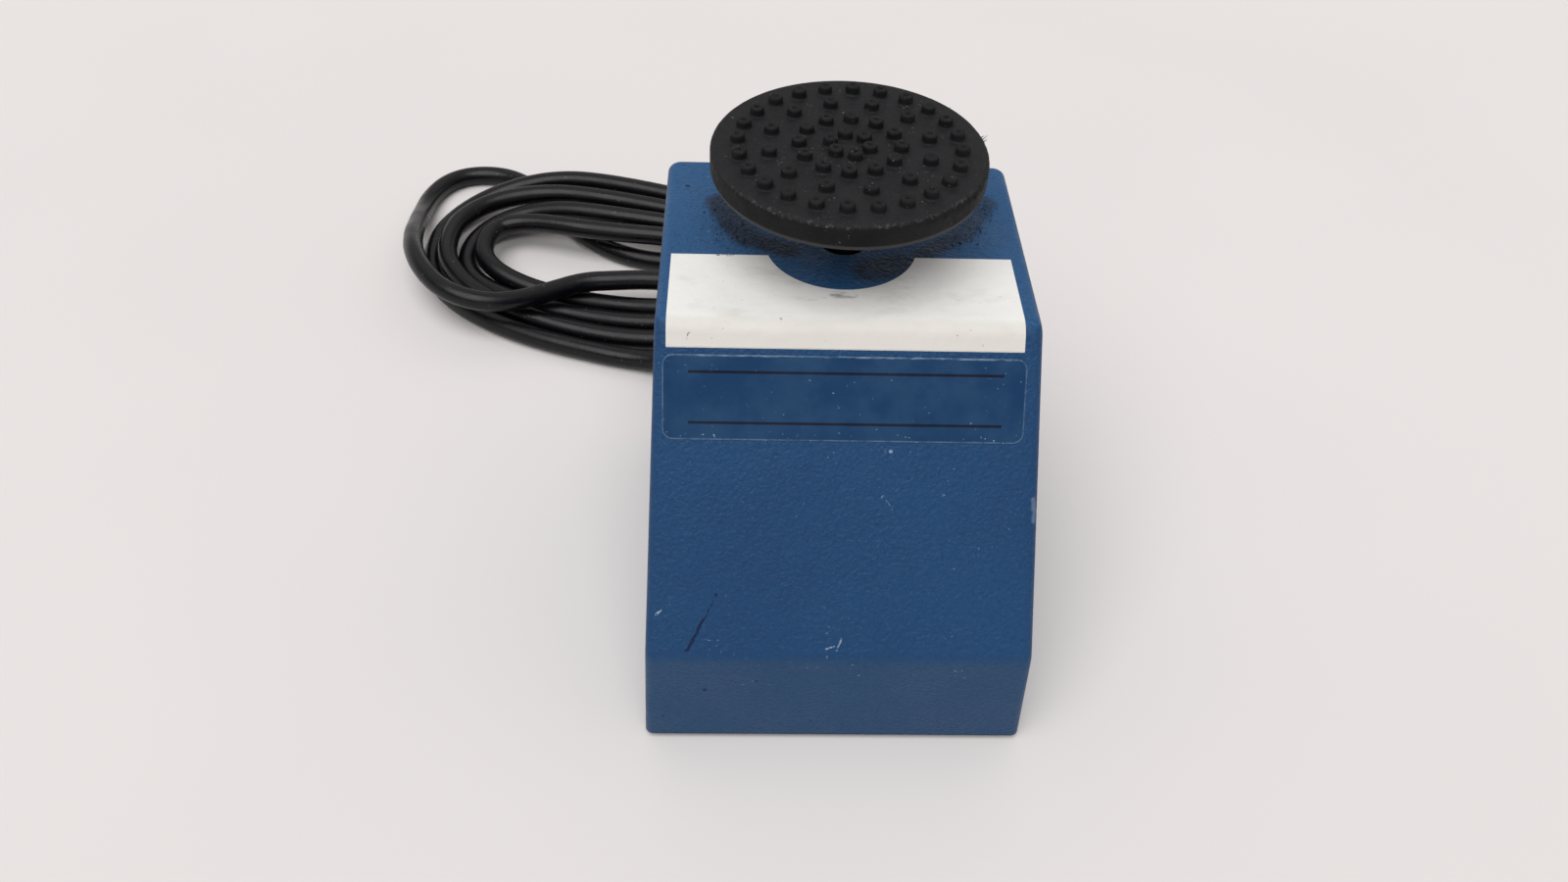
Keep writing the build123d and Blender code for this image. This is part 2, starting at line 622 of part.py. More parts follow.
with BuildPart() as carriage_plate:
    with BuildSketch(Plane.XY.offset(carriage_bottom)):
        with Locations((0, (carriage_front_y + carriage_rear_y) / 2)):
            RectangleRounded(carriage_width, carriage_rear_y - carriage_front_y, CARRIAGE_CORNER)
        with Locations((PUSHER_X, carriage_front_y - pusher_reach / 2 + CARRIAGE_MARGIN / 2)):
            Rectangle(PUSHER_WIDTH, pusher_reach + CARRIAGE_MARGIN)
        with Locations((0, MOTOR_AXIS_Y)):
            Circle(bore_radius + 1.5, mode=Mode.SUBTRACT)
        with Locations((0, (notch_rear_y + carriage_front_y) / 2 - 1)):
            Rectangle(2 * limb_inner_x + 1, notch_rear_y - carriage_front_y + 2, mode=Mode.SUBTRACT)
        with Locations(*post_places):
            Circle(bush_radius, mode=Mode.SUBTRACT)
        with Locations(*rear_screw_places, *front_screw_places):
            Circle(MOTOR_SCREW_RADIUS + HOLE_CLEARANCE, mode=Mode.SUBTRACT)
    extrude(amount=CARRIAGE_THICKNESS)
    with Locations((PUSHER_X, pusher_y, pusher_bottom)):
        Box(PUSHER_WIDTH, CARRIAGE_THICKNESS, carriage_top - pusher_bottom, align=BASE)
carriage_plate.part.label = "carriage_plate"
export_step(carriage_plate.part, "parts/carriage_plate.step")

# ---- Motor: stator, coil and shading rings ----
slot = SHADING_WIRE + 0.3
shading_x = limb_inner_x - SHADING_SETBACK
slot_y = stator_front_y + STATOR_FRONT * 0.95
with BuildPart() as stator_core:
    with BuildSketch(Plane.XY.offset(core_bottom)):
        with Locations((0, (limb_end_y + stator_rear_y) / 2)):
            Rectangle(STATOR_WIDTH, stator_rear_y - limb_end_y)
        with Locations((0, (limb_end_y + stator_front_y) / 2 - 1)):
            Rectangle(2 * limb_inner_x, stator_front_y - limb_end_y + 2, mode=Mode.SUBTRACT)
        with Locations((0, MOTOR_AXIS_Y)):
            Circle(bore_radius, mode=Mode.SUBTRACT)
        with Locations(*rear_screw_places, *front_screw_places):
            Circle(MOTOR_SCREW_RADIUS + HOLE_CLEARANCE, mode=Mode.SUBTRACT)
        with Locations((-shading_x, slot_y), (shading_x, slot_y)):
            Rectangle(slot, slot, mode=Mode.SUBTRACT)
    extrude(amount=stack_height)
    chamfer(stator_core.edges().filter_by(Axis.Z).group_by(Axis.Y)[-1], STATOR_CHAMFER)
stator_core.part.label = "stator_core"
export_step(stator_core.part, "parts/stator_core.step")

with BuildPart() as coil_core:
    with Locations((0, coil_y, core_bottom)):
        Box(2 * limb_inner_x, COIL_BAR_DEPTH, stack_height, align=BASE)
coil_core.part.label = "coil_core"
export_step(coil_core.part, "parts/coil_core.step")

coil_z = (core_bottom + core_top) / 2
coil_plane = Plane(origin=(0, coil_y, coil_z), x_dir=(0, 1, 0), z_dir=(1, 0, 0))
barrel_depth = COIL_BAR_DEPTH + 2 * BOBBIN_WALL
barrel_height = stack_height + 2 * BOBBIN_WALL
flange_depth = barrel_depth + 2 * (WINDING_DEPTH + BOBBIN_LIP)
flange_height = barrel_height + 2 * (WINDING_DEPTH + BOBBIN_LIP)
bobbin_half = limb_inner_x - 0.3
winding_half = bobbin_half - BOBBIN_WALL
with BuildPart() as coil_bobbin:
    for start in (-bobbin_half, winding_half):
        with BuildSketch(coil_plane.offset(start)):
            RectangleRounded(flange_depth, flange_height, 2)
        extrude(amount=BOBBIN_WALL)
    with BuildSketch(coil_plane):
        Rectangle(barrel_depth, barrel_height)
    extrude(amount=bobbin_half, both=True)
    with BuildSketch(coil_plane):
        Rectangle(COIL_BAR_DEPTH, stack_height)
    extrude(amount=bobbin_half, both=True, mode=Mode.SUBTRACT)
coil_bobbin.part.label = "coil_bobbin"
export_step(coil_bobbin.part, "parts/coil_bobbin.step")

with BuildPart() as coil_winding:
    with BuildSketch(coil_plane):
        RectangleRounded(barrel_depth + 2 * WINDING_DEPTH, barrel_height + 2 * WINDING_DEPTH, WINDING_CORNER)
        Rectangle(barrel_depth, barrel_height, mode=Mode.SUBTRACT)
    extrude(amount=winding_half, both=True)
coil_winding.part.label = "coil_winding"
export_step(coil_winding.part, "parts/coil_winding.step")

shading_front = stator_front_y - SHADING_WIRE
shading_rear = slot_y + SHADING_WIRE / 2
shading_mid = (shading_front + shading_rear) / 2
with BuildPart() as shading_rings:
    for x in (-shading_x, shading_x):
        with BuildSketch(Plane.YZ.offset(x - SHADING_WIRE / 2)):
            with Locations((shading_mid, coil_z)):
                depth = shading_rear - shading_front
                Rectangle(depth, stack_height + 2 * SHADING_WIRE)
                Rectangle(depth - 2 * SHADING_WIRE, stack_height, mode=Mode.SUBTRACT)
        extrude(amount=SHADING_WIRE)
shading_rings.part.label = "shading_rings"
export_step(shading_rings.part, "parts/shading_rings.step")

# ---- Motor: rotor, shaft and sleeves ----
rotor_plane = Plane(origin=(0, MOTOR_AXIS_Y, 0))
shaft_bottom = lower_sleeve_bottom - SHAFT_TAIL
shaft_top = hub_top - 1.0
end_ring_radius = ROTOR_RADIUS - END_RING_SHRINK
with BuildPart() as rotor_core:
    with BuildSketch(rotor_plane.offset(core_bottom)):
        Circle(ROTOR_RADIUS)
        Circle(SHAFT_RADIUS, mode=Mode.SUBTRACT)
    extrude(amount=stack_height)
rotor_core.part.label = "rotor_core"
export_step(rotor_core.part, "parts/rotor_core.step")

with BuildPart() as rotor_end_rings:
    for z in (core_bottom - END_RING_HEIGHT, core_top):
        with BuildSketch(rotor_plane.offset(z)):
            Circle(end_ring_radius)
            Circle(end_ring_radius * 0.6, mode=Mode.SUBTRACT)
        extrude(amount=END_RING_HEIGHT)
rotor_end_rings.part.label = "rotor_end_rings"
export_step(rotor_end_rings.part, "parts/rotor_end_rings.step")

with BuildPart() as rotor_shaft:
    with BuildSketch(rotor_plane.offset(shaft_bottom)):
        Circle(SHAFT_RADIUS)
    extrude(amount=shaft_top - shaft_bottom)
    chamfer(rotor_shaft.edges().group_by(Axis.Z)[0], 0.5)
rotor_shaft.part.label = "rotor_shaft"
export_step(rotor_shaft.part, "parts/rotor_shaft.step")

sleeve_radius = SHAFT_RADIUS + BEARING_FIT + SLEEVE_WALL


with BuildPart() as shaft_sleeves:
    for z in (lower_sleeve_bottom, upper_sleeve_bottom):
        with BuildSketch(rotor_plane.offset(z)):
            Circle(sleeve_radius)
            Circle(SHAFT_RADIUS + BEARING_FIT, mode=Mode.SUBTRACT)
        extrude(amount=SLEEVE_LENGTH)
shaft_sleeves.part.label = "shaft_sleeves"
export_step(shaft_sleeves.part, "parts/shaft_sleeves.step")

# ---- Motor: brackets, screws and nuts ----
bridge_inner = end_ring_radius + 1.2
bridge_outer = bridge_inner + BRACKET_RAMP
bracket_half = STATOR_WIDTH / 2
boss_wall_radius = sleeve_radius + BUSH_HOUSING_WALL


def bridge(feet_z, middle_z, hub_z):
    """Motor bracket: a bar with two feet, a raised or dropped middle and a hub round its sleeve."""
    lower = [(-bracket_half, feet_z), (-bridge_outer, feet_z), (-bridge_inner, middle_z)]
    lower += [(-x, z) for x, z in reversed(lower)]
    upper = [(x, z + BRACKET_THICKNESS) for x, z in reversed(lower)]
    with BuildPart() as piece:
        with BuildSketch(Plane(origin=(0, MOTOR_AXIS_Y, 0), x_dir=(1, 0, 0), z_dir=(0, -1, 0))):
            Polygon(*lower, *upper, align=None)
        extrude(amount=BRACKET_WIDTH / 2, both=True)
        with BuildSketch(rotor_plane.offset(hub_z)):
            Circle(boss_wall_radius)
        extrude(amount=SLEEVE_LENGTH)
        with BuildSketch(rotor_plane.offset(hub_z)):
            Circle(sleeve_radius)
        extrude(amount=SLEEVE_LENGTH, mode=Mode.SUBTRACT)
        with Locations(*at_height(rear_screw_places, feet_z)):
            radius = MOTOR_SCREW_RADIUS + HOLE_CLEARANCE
            Cylinder(radius, BRACKET_THICKNESS, align=BASE, mode=Mode.SUBTRACT)
    return piece.part


with BuildPart() as upper_bracket:
    add(bridge(core_top, upper_sleeve_bottom, upper_sleeve_bottom))
upper_bracket.part.label = "upper_bracket"
export_step(upper_bracket.part, "parts/upper_bracket.step")

lower_feet_z = carriage_bottom - BRACKET_THICKNESS
with BuildPart() as lower_bracket:
    add(bridge(lower_feet_z, lower_sleeve_top - BRACKET_THICKNESS, lower_sleeve_bottom))
lower_bracket.part.label = "lower_bracket"
export_step(lower_bracket.part, "parts/lower_bracket.step")

rear_nut_z = core_top + BRACKET_THICKNESS
rear_screw = pan_screw(MOTOR_SCREW_RADIUS, rear_nut_z - lower_feet_z + NUT_HEIGHT + NUT_REACH)
front_screw = pan_screw(MOTOR_SCREW_RADIUS, core_top - carriage_bottom + NUT_HEIGHT + NUT_REACH)
with BuildPart() as motor_screws:
    with Locations(*at_height(rear_screw_places, lower_feet_z)):
        add(rear_screw)
    with Locations(*at_height(front_screw_places, carriage_bottom)):
        add(front_screw)
motor_screws.part.label = "motor_screws"
export_step(motor_screws.part, "parts/motor_screws.step")

nut_places = at_height(rear_screw_places, rear_nut_z) + at_height(front_screw_places, core_top)
with BuildPart() as nut:
    with BuildSketch():
        RegularPolygon(MOTOR_SCREW_RADIUS * 1.75, 6, major_radius=False)
        Circle(MOTOR_SCREW_RADIUS + THREAD_CLEARANCE, mode=Mode.SUBTRACT)
    extrude(amount=NUT_HEIGHT)
with BuildPart() as motor_nuts:
    with Locations(*nut_places):
        add(nut.part)
motor_nuts.part.label = "motor_nuts"
export_step(motor_nuts.part, "parts/motor_nuts.step")

# ---- Eccentric, bearing and drive cup ----
head_plane = Plane(origin=(0, head_y, 0))
set_screw_z = hub_bottom + HUB_HEIGHT / 2
clip_groove = BEARING_BORE_RADIUS - GROOVE_DEPTH
with BuildPart() as eccentric_hub:
    with BuildSketch(rotor_plane.offset(hub_bottom)):
        Circle(HUB_RADIUS)
    extrude(amount=HUB_HEIGHT)
    with BuildSketch(rotor_plane.offset(hub_bottom)):
        Circle(COUNTERWEIGHT_RADIUS)
        with Locations((0, COUNTERWEIGHT_RADIUS)):
            Rectangle(2 * COUNTERWEIGHT_RADIUS, 2 * COUNTERWEIGHT_RADIUS, mode=Mode.SUBTRACT)
    extrude(amount=COUNTERWEIGHT_HEIGHT)
    with BuildSketch(head_plane.offset(hub_top)):
        Circle(BEARING_BORE_RADIUS + 1.2)
    extrude(amount=SHOULDER_HEIGHT)
    with BuildSketch(head_plane.offset(bearing_bottom)):
        Circle(BEARING_BORE_RADIUS)
    extrude(amount=pin_top - bearing_bottom)
    with BuildSketch(head_plane.offset(bearing_top)):
        Circle(BEARING_BORE_RADIUS + 1)
        Circle(clip_groove, mode=Mode.SUBTRACT)
    extrude(amount=CLIP_THICKNESS, mode=Mode.SUBTRACT)
    with BuildSketch(rotor_plane.offset(hub_bottom)):
        Circle(SHAFT_RADIUS)
    extrude(amount=shaft_top - hub_bottom, mode=Mode.SUBTRACT)
    with BuildSketch(Plane(origin=(0, MOTOR_AXIS_Y, set_screw_z), z_dir=(0, 1, 0))):
        Circle(SMALL_SCREW_RADIUS + THREAD_CLEARANCE)
    extrude(amount=HUB_RADIUS + 1, mode=Mode.SUBTRACT)
eccentric_hub.part.label = "eccentric_hub"
export_step(eccentric_hub.part, "parts/eccentric_hub.step")

with BuildPart() as eccentric_set_screw:
    with BuildSketch(Plane(origin=(0, MOTOR_AXIS_Y + SHAFT_RADIUS, set_screw_z), z_dir=(0, 1, 0))):
        Circle(SMALL_SCREW_RADIUS)
    extrude(amount=HUB_RADIUS - SHAFT_RADIUS - 0.8)
    with BuildSketch(Plane(eccentric_set_screw.faces().sort_by(Axis.Y)[-1])):
        RegularPolygon(SMALL_SCREW_RADIUS * 0.5, 6)
    extrude(amount=-SMALL_SCREW_RADIUS, mode=Mode.SUBTRACT)
eccentric_set_screw.part.label = "eccentric_set_screw"
export_step(eccentric_set_screw.part, "parts/eccentric_set_screw.step")

inner_race_radius = BEARING_BORE_RADIUS + RACE_THICKNESS
outer_race_bore = BEARING_OUTER_RADIUS - RACE_THICKNESS
ball_circle = (inner_race_radius + outer_race_bore) / 2
bearing_mid = (bearing_bottom + bearing_top) / 2
track_radius = BALL_RADIUS + BALL_CLEARANCE


def race(inner, outer):
    """One race of the ball bearing, with its track for the balls."""
    with BuildPart() as piece:
        with BuildSketch(head_plane.offset(bearing_bottom)):
            Circle(outer)
            Circle(inner, mode=Mode.SUBTRACT)
        extrude(amount=BEARING_WIDTH)
        with Locations((0, head_y, bearing_mid)):
            Torus(ball_circle, track_radius, mode=Mode.SUBTRACT)
    return piece.part


with BuildPart() as bearing_inner_race:
    add(race(BEARING_BORE_RADIUS, inner_race_radius))
bearing_inner_race.part.label = "bearing_inner_race"
export_step(bearing_inner_race.part, "parts/bearing_inner_race.step")

with BuildPart() as bearing_outer_race:
    add(race(outer_race_bore, BEARING_OUTER_RADIUS))
bearing_outer_race.part.label = "bearing_outer_race"
export_step(bearing_outer_race.part, "parts/bearing_outer_race.step")

with BuildPart() as bearing_balls:
    with Locations((0, head_y, bearing_mid)):
        with PolarLocations(ball_circle, BALL_COUNT):
            Sphere(BALL_RADIUS)
bearing_balls.part.label = "bearing_balls"
export_step(bearing_balls.part, "parts/bearing_balls.step")

with BuildPart() as bearing_clip:
    with BuildSketch(head_plane.offset(bearing_top)):
        Circle(BEARING_BORE_RADIUS + 1.2)
        Circle(clip_groove, mode=Mode.SUBTRACT)
        with Locations((0, -BEARING_BORE_RADIUS)):
            Rectangle(2 * clip_groove * 0.8, BEARING_BORE_RADIUS, mode=Mode.SUBTRACT)
    extrude(amount=CLIP_THICKNESS)
bearing_clip.part.label = "bearing_clip"
export_step(bearing_clip.part, "parts/bearing_clip.step")

socket_radius = STEM_RADIUS + STEM_CLEARANCE
socket_flat = STEM_RADIUS - STEM_FLAT + STEM_CLEARANCE
socket_outer = STEM_RADIUS + SOCKET_WALL
with BuildPart() as drive_cup:
    with BuildSketch(head_plane.offset(bearing_bottom)):
        Circle(BEARING_OUTER_RADIUS + CUP_WALL)
    extrude(amount=web_top - bearing_bottom)
    with BuildSketch(head_plane.offset(bearing_bottom)):
        Circle(BEARING_OUTER_RADIUS)
    extrude(amount=BEARING_WIDTH, mode=Mode.SUBTRACT)
    with BuildSketch(head_plane.offset(bearing_top)):
        Circle(BEARING_OUTER_RADIUS - 1)
    extrude(amount=web_bottom - bearing_top, mode=Mode.SUBTRACT)
    with BuildSketch(head_plane.offset(web_top)):
        Circle(socket_outer)
        with BuildSketch(head_plane.offset(web_top), mode=Mode.SUBTRACT):
            Circle(socket_radius)
            Rectangle(2 * socket_flat, 2 * socket_radius, mode=Mode.INTERSECT)
    extrude(amount=SOCKET_DEPTH)
drive_cup.part.label = "drive_cup"
export_step(drive_cup.part, "parts/drive_cup.step")

# ---- Boot, ring and ring screws under the top ----
collar_top = socket_top - BOOT_COLLAR_DROP
collar_bottom = collar_top - BOOT_COLLAR_HEIGHT
boot_bottom = ceiling - BOOT_THICKNESS
ring_bottom = boot_bottom - RING_THICKNESS
ring_screw_circle = (BOOT_INNER_RADIUS + BOOT_OUTER_RADIUS) / 2
collar_outer = socket_outer + BOOT_THICKNESS
with BuildPart() as sealing_boot:
    with BuildSketch(rotor_plane.offset(boot_bottom)):
        Circle(BOOT_OUTER_RADIUS)
    extrude(amount=BOOT_THICKNESS)
    with BuildSketch(head_plane.offset(collar_bottom)):
        Circle(collar_outer)
    with BuildSketch(rotor_plane.offset(boot_bottom)):
        Circle(BOOT_INNER_RADIUS)
    loft(ruled=True)
    with BuildSketch(head_plane.offset(collar_bottom + BOOT_THICKNESS)):
        Circle(collar_outer - BOOT_THICKNESS * 0.5)
    with BuildSketch(rotor_plane.offset(ceiling)):
        Circle(BOOT_INNER_RADIUS - BOOT_THICKNESS * 0.5)
    loft(ruled=True, mode=Mode.SUBTRACT)
    with BuildSketch(head_plane.offset(collar_bottom)):
        Circle(collar_outer)
    extrude(amount=BOOT_COLLAR_HEIGHT)
    with BuildSketch(head_plane.offset(collar_bottom)):
        Circle(socket_outer)
    extrude(amount=ceiling - collar_bottom, mode=Mode.SUBTRACT)
    with Locations((0, MOTOR_AXIS_Y, boot_bottom)):
        with PolarLocations(ring_screw_circle, RING_SCREW_COUNT, 45):
            Cylinder(RING_SCREW_RADIUS + HOLE_CLEARANCE, BOOT_THICKNESS, align=BASE, mode=Mode.SUBTRACT)
sealing_boot.part.label = "sealing_boot"
export_step(sealing_boot.part, "parts/sealing_boot.step")

with BuildPart() as boot_ring:
    with BuildSketch(rotor_plane.offset(ring_bottom)):
        Circle(BOOT_OUTER_RADIUS)
        Circle(BOOT_INNER_RADIUS, mode=Mode.SUBTRACT)
        with PolarLocations(ring_screw_circle, RING_SCREW_COUNT, 45):
            Circle(RING_SCREW_RADIUS + HOLE_CLEARANCE, mode=Mode.SUBTRACT)
    extrude(amount=RING_THICKNESS)
boot_ring.part.label = "boot_ring"
export_step(boot_ring.part, "parts/boot_ring.step")

ring_screw = pan_screw(RING_SCREW_RADIUS, RING_THICKNESS + BOOT_THICKNESS + RING_SCREW_BITE)
with BuildPart() as boot_screws:
    with Locations((0, MOTOR_AXIS_Y, ring_bottom)):
        with PolarLocations(ring_screw_circle, RING_SCREW_COUNT, 45):
            add(ring_screw)
boot_screws.part.label = "boot_screws"
export_step(boot_screws.part, "parts/boot_screws.step")

# ---- Head: stem, platform and cover ----
stem_flat_half = STEM_RADIUS - STEM_FLAT
with BuildPart() as head_stem:
    with BuildSketch(head_plane.offset(stem_bottom)):
        Circle(STEM_RADIUS)
        Rectangle(2 * stem_flat_half, 2 * STEM_RADIUS, mode=Mode.INTERSECT)
    extrude(amount=stem_top - stem_bottom)
    chamfer(head_stem.edges().group_by(Axis.Z)[0], 0.4)
head_stem.part.label = "head_stem"
export_step(head_stem.part, "parts/head_stem.step")

with BuildPart() as head_platform:
    with BuildSketch(Plane(origin=(0, head_y, 0), x_dir=(1, 0, 0), z_dir=(0, -1, 0))):
        with BuildLine():
            Polyline(
                (0, neck_bottom),
                (NECK_RADIUS, neck_bottom),
                (FLARE_RADIUS, platform_bottom),
                (COVER_RADIUS - FLANGE_INSET, platform_bottom),
                (COVER_RADIUS - FLANGE_INSET, cover_bottom),
                (platform_radius, cover_bottom),
                (platform_radius, platform_top),
                (0, platform_top),
                close=True,
            )
        make_face()
    revolve(axis=Axis((0, head_y, 0), (0, 0, 1)))
    with BuildSketch(Plane(origin=(0, head_y, 0), x_dir=(1, 0, 0), z_dir=(0, -1, 0))):
        rib_start = (FLARE_RADIUS - 1, platform_bottom)
        rib_mid = (NECK_RADIUS + FLARE_RADIUS) / 2
        Polygon(rib_start, (platform_radius - 2, platform_bottom), (rib_mid, platform_bottom - HEAD_RIB_DROP), align=None)
    rib = extrude(amount=HEAD_RIB_THICKNESS / 2, both=True, mode=Mode.PRIVATE)
    for step in range(RIB_COUNT):
        add(rib.rotate(Axis((0, head_y, 0), (0, 0, 1)), step * 360 / RIB_COUNT))
    with BuildSketch(head_plane.offset(neck_bottom)):
        Circle(STEM_RADIUS)
        Rectangle(2 * stem_flat_half, 2 * STEM_RADIUS, mode=Mode.INTERSECT)
    extrude(amount=stem_top - neck_bottom, mode=Mode.SUBTRACT)
head_platform.part.label = "head_platform"
export_step(head_platform.part, "parts/head_platform.step")

with BuildPart() as nub:
    Cylinder(NUB_RADIUS, NUB_HEIGHT, align=BASE)
    fillet(nub.edges().group_by(Axis.Z)[-1], NUB_ROUND)
    with Locations((0, 0, NUB_HEIGHT - DIMPLE_DEPTH)):
        Cylinder(DIMPLE_RADIUS, DIMPLE_DEPTH, align=BASE, mode=Mode.SUBTRACT)
with BuildPart() as platform_cover:
    with BuildSketch(head_plane.offset(cover_bottom)):
        Circle(COVER_RADIUS)
    extrude(amount=cover_top - cover_bottom)
    chamfer(platform_cover.edges().group_by(Axis.Z)[-1], 0.5)
    with BuildSketch(head_plane.offset(cover_bottom)):
        Circle(platform_radius)
    extrude(amount=platform_top - cover_bottom, mode=Mode.SUBTRACT)
    for ring_radius, count, first in zip(NUB_RING_RADII, NUB_COUNTS, NUB_ANGLES):
        with Locations((0, head_y, cover_top)):
            with PolarLocations(ring_radius, count, first):
                add(nub.part)
platform_cover.part.label = "platform_cover"
export_step(platform_cover.part, "parts/platform_cover.step")

# ---- Switch, its lever, plunger, pin and bracket ----
plunger_x = hinge_x - PLUNGER_OFFSET
lever_half = LEVER_THICKNESS / 2
plunger_arm = PLUNGER_OFFSET - PLUNGER_RADIUS
plunger_top = hinge_z + plunger_arm * tan(lever_lean) - lever_half / cos(lever_lean) - LEVER_GAP
plunger_travel = plunger_arm * tan(lever_lean) + lever_half - lever_half / cos(lever_lean)
plunger_bottom = plunger_top - PLUNGER_LENGTH
pin_bore = HINGE_PIN_RADIUS + 0.05
ear_thickness = (SWITCH_THICKNESS - LEVER_WIDTH) / 2 - 0.2
switch_screw_z = switch_bottom + SWITCH_HEIGHT * 0.3
side_plane = Plane(origin=(0, switch_front, 0), x_dir=(1, 0, 0), z_dir=(0, -1, 0))
switch_screw_places = [(switch_x - SWITCH_HOLE_SPACING / 2, switch_screw_z)]
switch_screw_places.append((switch_x + SWITCH_HOLE_SPACING / 2, switch_screw_z))
with BuildPart() as switch_body:
    with Locations((switch_x, pusher_y, switch_bottom)):
        Box(SWITCH_LENGTH, SWITCH_THICKNESS, SWITCH_HEIGHT, align=BASE)
    ear_y = SWITCH_THICKNESS / 2 - ear_thickness / 2
    ear_height = HINGE_RISE + KNUCKLE_RADIUS
    with Locations((hinge_x, pusher_y - ear_y, switch_top), (hinge_x, pusher_y + ear_y, switch_top)):
        Box(3, ear_thickness, ear_height, align=BASE)
    with BuildSketch(side_plane):
        with Locations((hinge_x, hinge_z)):
            Circle(pin_bore)
    extrude(amount=-SWITCH_THICKNESS, mode=Mode.SUBTRACT)
    with BuildSketch(side_plane):
        with Locations(*switch_screw_places):
            Circle(TINY_SCREW_RADIUS + THREAD_CLEARANCE)
    extrude(amount=-SWITCH_THICKNESS, mode=Mode.SUBTRACT)
    with Locations((plunger_x, pusher_y, plunger_bottom - plunger_travel - 0.3)):
        Cylinder(PLUNGER_RADIUS + 0.05, SWITCH_HEIGHT, align=BASE, mode=Mode.SUBTRACT)
switch_body.part.label = "switch_body"
export_step(switch_body.part, "parts/switch_body.step")

with BuildPart() as switch_plunger:
    with Locations((plunger_x, pusher_y, plunger_bottom)):
        Cylinder(PLUNGER_RADIUS, PLUNGER_LENGTH, align=BASE)
    chamfer(switch_plunger.edges().group_by(Axis.Z)[-1], 0.2)
switch_plunger.part.label = "switch_plunger"
export_step(switch_plunger.part, "parts/switch_plunger.step")

with BuildPart() as switch_lever:
    with Locations(Location((hinge_x, pusher_y, hinge_z), (0, lever_angle, 0))):
        with Locations((-LEVER_LENGTH / 2, 0, 0)):
            Box(LEVER_LENGTH, LEVER_WIDTH, LEVER_THICKNESS)
    with Locations(Location((hinge_x, pusher_y, hinge_z), (90, 0, 0))):
        Cylinder(KNUCKLE_RADIUS, LEVER_WIDTH)
        Cylinder(pin_bore, LEVER_WIDTH, mode=Mode.SUBTRACT)
switch_lever.part.label = "switch_lever"
export_step(switch_lever.part, "parts/switch_lever.step")

with BuildPart() as switch_pin:
    with Locations(Location((hinge_x, pusher_y, hinge_z), (90, 0, 0))):
        Cylinder(HINGE_PIN_RADIUS, SWITCH_THICKNESS)
switch_pin.part.label = "switch_pin"
export_step(switch_pin.part, "parts/switch_pin.step")

bracket_back = switch_front - SWITCH_BRACKET_THICKNESS
bracket_foot_y = bracket_back - SWITCH_BRACKET_FOOT / 2
with BuildPart() as switch_bracket:
    with Locations((switch_x, switch_front - SWITCH_BRACKET_THICKNESS / 2, plate_top)):
        Box(SWITCH_LENGTH, SWITCH_BRACKET_THICKNESS, SWITCH_HEIGHT * 0.9, align=BASE)
    with Locations((switch_x, bracket_foot_y + 0.01, plate_top)):
        Box(SWITCH_LENGTH, SWITCH_BRACKET_FOOT + 0.02, SWITCH_BRACKET_THICKNESS, align=BASE)
    with BuildSketch(side_plane):
        with Locations(*switch_screw_places):
            Circle(TINY_SCREW_RADIUS + HOLE_CLEARANCE)
    extrude(amount=SWITCH_BRACKET_THICKNESS, mode=Mode.SUBTRACT)
    with Locations(*at_height(bracket_screw_places, plate_top)):
        bore = SMALL_SCREW_RADIUS + THREAD_CLEARANCE
        Cylinder(bore, SWITCH_BRACKET_THICKNESS, align=BASE, mode=Mode.SUBTRACT)
switch_bracket.part.label = "switch_bracket"
export_step(switch_bracket.part, "parts/switch_bracket.step")

switch_screw = pan_screw(TINY_SCREW_RADIUS, SWITCH_BRACKET_THICKNESS + SWITCH_THICKNESS)
with BuildPart() as switch_screws:
    with Locations(*[(x, bracket_back, z) for x, z in switch_screw_places]):
        add(switch_screw, rotation=(-90, 0, 0))
switch_screws.part.label = "switch_screws"
export_step(switch_screws.part, "parts/switch_screws.step")

bracket_screw = pan_screw(SMALL_SCREW_RADIUS, PLATE_THICKNESS + SWITCH_BRACKET_THICKNESS + 0.8)

terminal_x = switch_x + SWITCH_LENGTH / 2
terminal_heights = (switch_bottom + SWITCH_HEIGHT * 0.25, switch_bottom + SWITCH_HEIGHT * 0.7)
with BuildPart() as switch_terminals:
    for z in terminal_heights:
        with Locations((terminal_x + TERMINAL_LENGTH / 2, pusher_y, z)):
            Box(TERMINAL_LENGTH, 3, 0.6)
switch_terminals.part.label = "switch_terminals"
export_step(switch_terminals.part, "parts/switch_terminals.step")

# ---- Terminal block, ground screw and wires ----
block_front = block_y - BLOCK_DEPTH / 2
block_right = BLOCK_X + BLOCK_LENGTH / 2
block_mid_z = plate_top + BLOCK_HEIGHT * 0.5
block_bite = 6.0
with BuildPart() as terminal_block:
    with Locations((BLOCK_X, block_y, plate_top)):
        Box(BLOCK_LENGTH, BLOCK_DEPTH, BLOCK_HEIGHT, align=BASE)
    with Locations((BLOCK_X, block_y, plate_top + BLOCK_HEIGHT)):
        with GridLocations(BLOCK_LENGTH / 3, 0, 3, 1):
            Cylinder(2.2, 3, mode=Mode.SUBTRACT)
    with Locations(*at_height(block_screw_places, plate_top)):
        Cylinder(SMALL_SCREW_RADIUS + THREAD_CLEARANCE, block_bite + 1, align=BASE, mode=Mode.SUBTRACT)
terminal_block.part.label = "terminal_block"
export_step(terminal_block.part, "parts/terminal_block.step")

block_screw = pan_screw(SMALL_SCREW_RADIUS, PLATE_THICKNESS + block_bite)
with BuildPart() as plate_screws:
    with Locations(*at_height(post_places, plate_bottom)):
        add(post_screw)
    with Locations(*at_height(bracket_screw_places, plate_bottom)):
        add(bracket_screw)
    with Locations(*at_height(block_screw_places, plate_bottom)):
        add(block_screw)
plate_screws.part.label = "plate_screws"
export_step(plate_screws.part, "parts/plate_screws.step")

